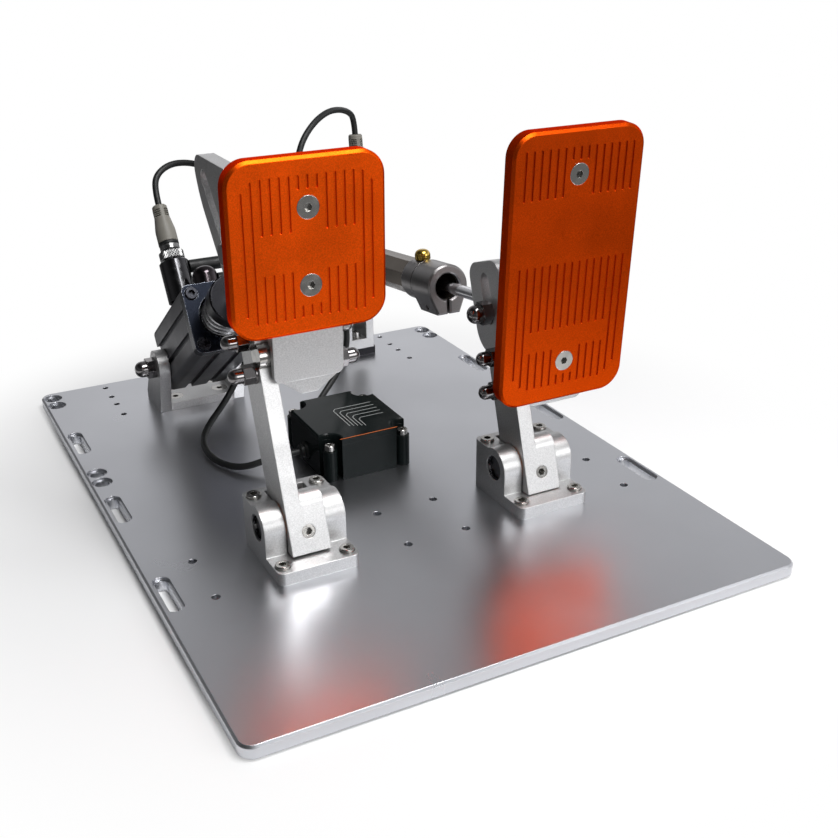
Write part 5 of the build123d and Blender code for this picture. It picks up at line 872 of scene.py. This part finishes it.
class PEDALS_OT_springs(bpy.types.Operator):
    """Winds the two return springs"""

    bl_idname = "pedals.springs"
    bl_label = "Springs"

    def execute(self, context):
        sizes = context.scene.pedal_details
        rows = (
            ("brake", BRAKE_FOOT, BRAKE_SLOPE, BRAKE_SPRING_START, BRAKE_SPRING_LENGTH,
             sizes.brake_wire, sizes.brake_coil, BRAKE_SPRING_KEEP_SHARE),
            ("throttle", THROTTLE_FOOT, THROTTLE_SLOPE, THROTTLE_SPRING_START, THROTTLE_SPRING_LENGTH,
             sizes.throttle_wire, sizes.throttle_coil, THROTTLE_SPRING_KEEP_SHARE),
        )
        for name, foot, slope, start, length, wire, diameter, keep in rows:
            along = unit_vectors(slope)[0]
            base = foot + along * start
            mesh = coil_mesh(f"{name}_coil", wire, diameter, length - wire)
            mesh.transform(placed(base + along * wire / 2, along))
            piece = new_piece(
                f"{name}_coil", mesh, "spring_wire", f"{name}_unit", (f"{name}_spring",)
            )
            shade_by_angle(piece, degrees=60.0)
            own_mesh(piece)
        return {"FINISHED"}


def scale_radius(vertex, share):
    """Moves a vertex of a turned shape to a share of its distance from the axis."""
    vertex.co.x *= share
    vertex.co.y *= share


def knurled_ring():
    """A coupling ring with fine ribs on its rim."""
    shape = turned_shape(RING_PROFILE, RING_COLUMNS)
    for vertex in shape.verts:
        radius = math.hypot(vertex.co.x, vertex.co.y)
        column = round(math.atan2(vertex.co.y, vertex.co.x) / math.tau * RING_COLUMNS)
        if radius > RIM_FROM and column % 2:
            scale_radius(vertex, RIB_VALLEY_SHARE)
    return shape


def plug_grip():
    """The moulded grip: a taper to a neck with grooves, which four bridges cross."""
    neck = []
    for groove in range(GROOVES):
        low = GROOVE_START + groove * GROOVE_PITCH
        high = low + GROOVE_WIDTH
        neck += [
            (NECK_RADIUS, low), (GROOVE_RADIUS, low + GROOVE_SLANT), (GROOVE_RADIUS, high - GROOVE_SLANT),
            (NECK_RADIUS, high),
        ]
    shape = turned_shape([*GRIP_FOOT, *neck, *GRIP_TIP], GRIP_STEPS)
    for vertex in shape.verts:
        in_groove = abs(math.hypot(vertex.co.x, vertex.co.y) - GROOVE_RADIUS) < SAME_RADIUS
        angle = math.atan2(vertex.co.y, vertex.co.x)
        if in_groove and abs(math.sin(angle * 2)) < BRIDGE_SHARE:
            scale_radius(vertex, NECK_RADIUS / GROOVE_RADIUS)
    return shape


def plug_section(radius, low, high):
    """A short turned section of the plug with broken edges."""
    flat = radius - BROKEN_EDGE
    profile = [
        (0.0, low), (flat, low), (radius, low + BROKEN_EDGE), (radius, high - BROKEN_EDGE), (flat, high),
        (0.0, high),
    ]
    return turned_shape(profile)


class PEDALS_OT_plugs(bpy.types.Operator):
    """Puts a knurled ring, a seal, a sleeve, a dark band and a moulded grip on each sensor"""

    bl_idname = "pedals.plugs"
    bl_label = "Plugs"

    def execute(self, context):
        rows = (
            ("brake", BRAKE_SEAT, BRAKE_SLOPE, BRAKE_PLUG_FOOT),
            ("throttle", THROTTLE_SEAT, THROTTLE_SLOPE, THROTTLE_PLUG_FOOT),
        )
        for name, seat, slope, foot in rows:
            up = unit_vectors(slope)[1]
            place = placed(seat + up * foot, up) @ Matrix.Scale(MM, 4)
            sections = (
                (knurled_ring(), "plug_ring", "steel"),
                (plug_section(*SEAL_SECTION), "black_rubber", "black_rubber"),
                (plug_section(*SLEEVE_SECTION), "plug_ring", "steel"),
                (plug_section(*BAND_SECTION), "black_rubber", "black_rubber"),
                (plug_grip(), "grey_plug", "grey_plastic"),
            )
            for part, (shape, finish, record_slot) in zip(PLUG_PARTS, sections):
                bmesh.ops.transform(shape, matrix=place, verts=shape.verts)
                node = (f"{name}_sensor_plug",) if part == "grip" else ()
                piece = new_piece(
                    f"{name}_plug_{part}", shape, finish, f"{name}_unit", node
                )
                shade_by_angle(piece, degrees=30.0)
        return {"FINISHED"}


def circlip():
    """An internal retaining ring, open at the top, with an eye at each end."""
    shape = bmesh.new()
    corners = [
        shape.verts.new((CIRCLIP_INNER, 0.0, 0.0)), shape.verts.new((CIRCLIP_OUTER, 0.0, 0.0)),
        shape.verts.new((CIRCLIP_OUTER, 0.0, CIRCLIP_THICKNESS)),
        shape.verts.new((CIRCLIP_INNER, 0.0, CIRCLIP_THICKNESS)),
    ]
    face = shape.faces.new(corners)
    bmesh.ops.rotate(
        shape, verts=corners, cent=(0.0, 0.0, 0.0),
        matrix=Matrix.Rotation(math.pi / 2 + CIRCLIP_GAP / 2, 3, "Z"),
    )
    bmesh.ops.spin(
        shape, geom=[face, *face.edges, *face.verts], axis=(0.0, 0.0, 1.0), cent=(0.0, 0.0, 0.0),
        dvec=(0.0, 0.0, 0.0), angle=math.tau - CIRCLIP_GAP, steps=CIRCLIP_STEPS, use_merge=False,
        use_duplicate=False,
    )
    for side in (-1, 1):
        angle = math.pi / 2 + side * (CIRCLIP_GAP / 2 + EYE_TURN)
        across, along = math.cos(angle) * EYE_REACH, math.sin(angle) * EYE_REACH
        bmesh.ops.create_cone(
            shape, cap_ends=True, segments=20, radius1=EYE_RADIUS, radius2=EYE_RADIUS,
            depth=CIRCLIP_THICKNESS, matrix=Matrix.Translation((across, along, CIRCLIP_THICKNESS / 2)),
        )
    bmesh.ops.recalc_face_normals(shape, faces=shape.faces)
    return shape


class PEDALS_OT_rings(bpy.types.Operator):
    """Snaps a retaining ring into each end of the two pivot bores"""

    bl_idname = "pedals.rings"
    bl_label = "Retaining rings"

    def execute(self, context):
        whole = bmesh.new()
        for centre in (-PIVOT_X, PIVOT_X):
            for side in (-1, 1):
                shape = circlip()
                spot = (centre + side * RING_SEAT, PIVOT_Y, PIVOT_Z)
                place = placed(spot, (side, 0.0, 0.0), CIRCLIP_LEAN) @ Matrix.Scale(MM, 4)
                bmesh.ops.transform(shape, matrix=place, verts=shape.verts)
                mesh = bpy.data.meshes.new("ring")
                shape.to_mesh(mesh)
                shape.free()
                whole.from_mesh(mesh)
                bpy.data.meshes.remove(mesh)
        piece = new_piece("circlips", whole, "dark_spring", "base", ("retaining_rings",))
        shade_by_angle(piece, degrees=40.0)
        return {"FINISHED"}


def strip(shape, start, end, width, thickness):
    """A thin flat bar on the lid between two places in millimetres."""
    start, end = Vector(start), Vector(end)
    way = (end - start).normalized()
    made = bmesh.ops.create_cube(shape, size=1.0)["verts"]
    size = Matrix.Diagonal(((end - start).length + width, width, thickness, 1.0))
    turn = Matrix.Rotation(math.atan2(way.y, way.x), 4, "Z")
    middle = (start + end) / 2
    place = Matrix.Translation((middle.x, middle.y, LID_TOP + thickness / 2))
    bmesh.ops.transform(shape, matrix=Matrix.Scale(MM, 4) @ place @ turn @ size, verts=made)


class PEDALS_OT_box_marks(bpy.types.Operator):
    """Draws plain thin lines on the control box's lid and a coloured line on its front edge"""

    bl_idname = "pedals.box_marks"
    bl_label = "Box marks"

    def execute(self, context):
        width = context.scene.pedal_details.mark_width / MM
        lines = bmesh.new()
        for row in range(LID_LINES):
            corner = LID_LINE_CORNER + LID_LINE_STEP * row
            turn = corner + LID_LINE_SLANT
            strip(lines, corner, (LID_LINE_RIGHT, corner.y), width, LID_LINE_THICKNESS)
            strip(lines, corner, turn, width, LID_LINE_THICKNESS)
            strip(lines, turn, (turn.x, LID_LINE_FRONT - row), width, LID_LINE_THICKNESS)
        new_piece("lid_lines", lines, "pale_mark", "base")
        edge = bmesh.new()
        ends = [(side * EDGE_LINE_HALF, EDGE_LINE_Y) for side in (-1, 1)]
        strip(edge, *ends, EDGE_LINE_WIDTH, EDGE_LINE_THICKNESS)
        new_piece("lid_edge_line", edge, "orange_mark", "base")
        return {"FINISHED"}


CLASSES = (
    PedalFinishSettings,
    PedalDetailSettings,
    PEDALS_OT_camera,
    PEDALS_OT_finishes,
    PEDALS_OT_plugs,
    PEDALS_OT_cables,
    PEDALS_OT_springs,
    PEDALS_OT_rings,
    PEDALS_OT_box_marks,
    PEDALS_OT_stage,
)


class PEDALS_PT_sidebar(bpy.types.Panel):
    """Lists the steps and the settings of the pedal set"""

    bl_idname = "PEDALS_PT_sidebar"
    bl_label = "Pedal set"
    bl_space_type = "VIEW_3D"
    bl_region_type = "UI"
    bl_category = "Pedals"

    def draw(self, context):
        for group in (context.scene.pedal_finishes, context.scene.pedal_details):
            column = self.layout.column(align=True)
            for name in group.__annotations__:
                column.prop(group, name)
        for operator in CLASSES:
            if issubclass(operator, bpy.types.Operator):
                self.layout.operator(operator.bl_idname)


def register():
    for kind in (*CLASSES, PEDALS_PT_sidebar):
        bpy.utils.register_class(kind)
    bpy.types.Scene.pedal_finishes = bpy.props.PointerProperty(type=PedalFinishSettings)
    bpy.types.Scene.pedal_details = bpy.props.PointerProperty(type=PedalDetailSettings)


def unregister():
    del bpy.types.Scene.pedal_details
    del bpy.types.Scene.pedal_finishes
    for kind in (PEDALS_PT_sidebar, *reversed(CLASSES)):
        bpy.utils.unregister_class(kind)


def main():
    register()
    bpy.ops.pedals.camera()
    bpy.ops.pedals.finishes()
    bpy.ops.pedals.plugs()
    bpy.ops.pedals.cables()
    bpy.ops.pedals.springs()
    bpy.ops.pedals.rings()
    bpy.ops.pedals.box_marks()
    bpy.ops.pedals.stage()


if __name__ == "__main__":
    main()
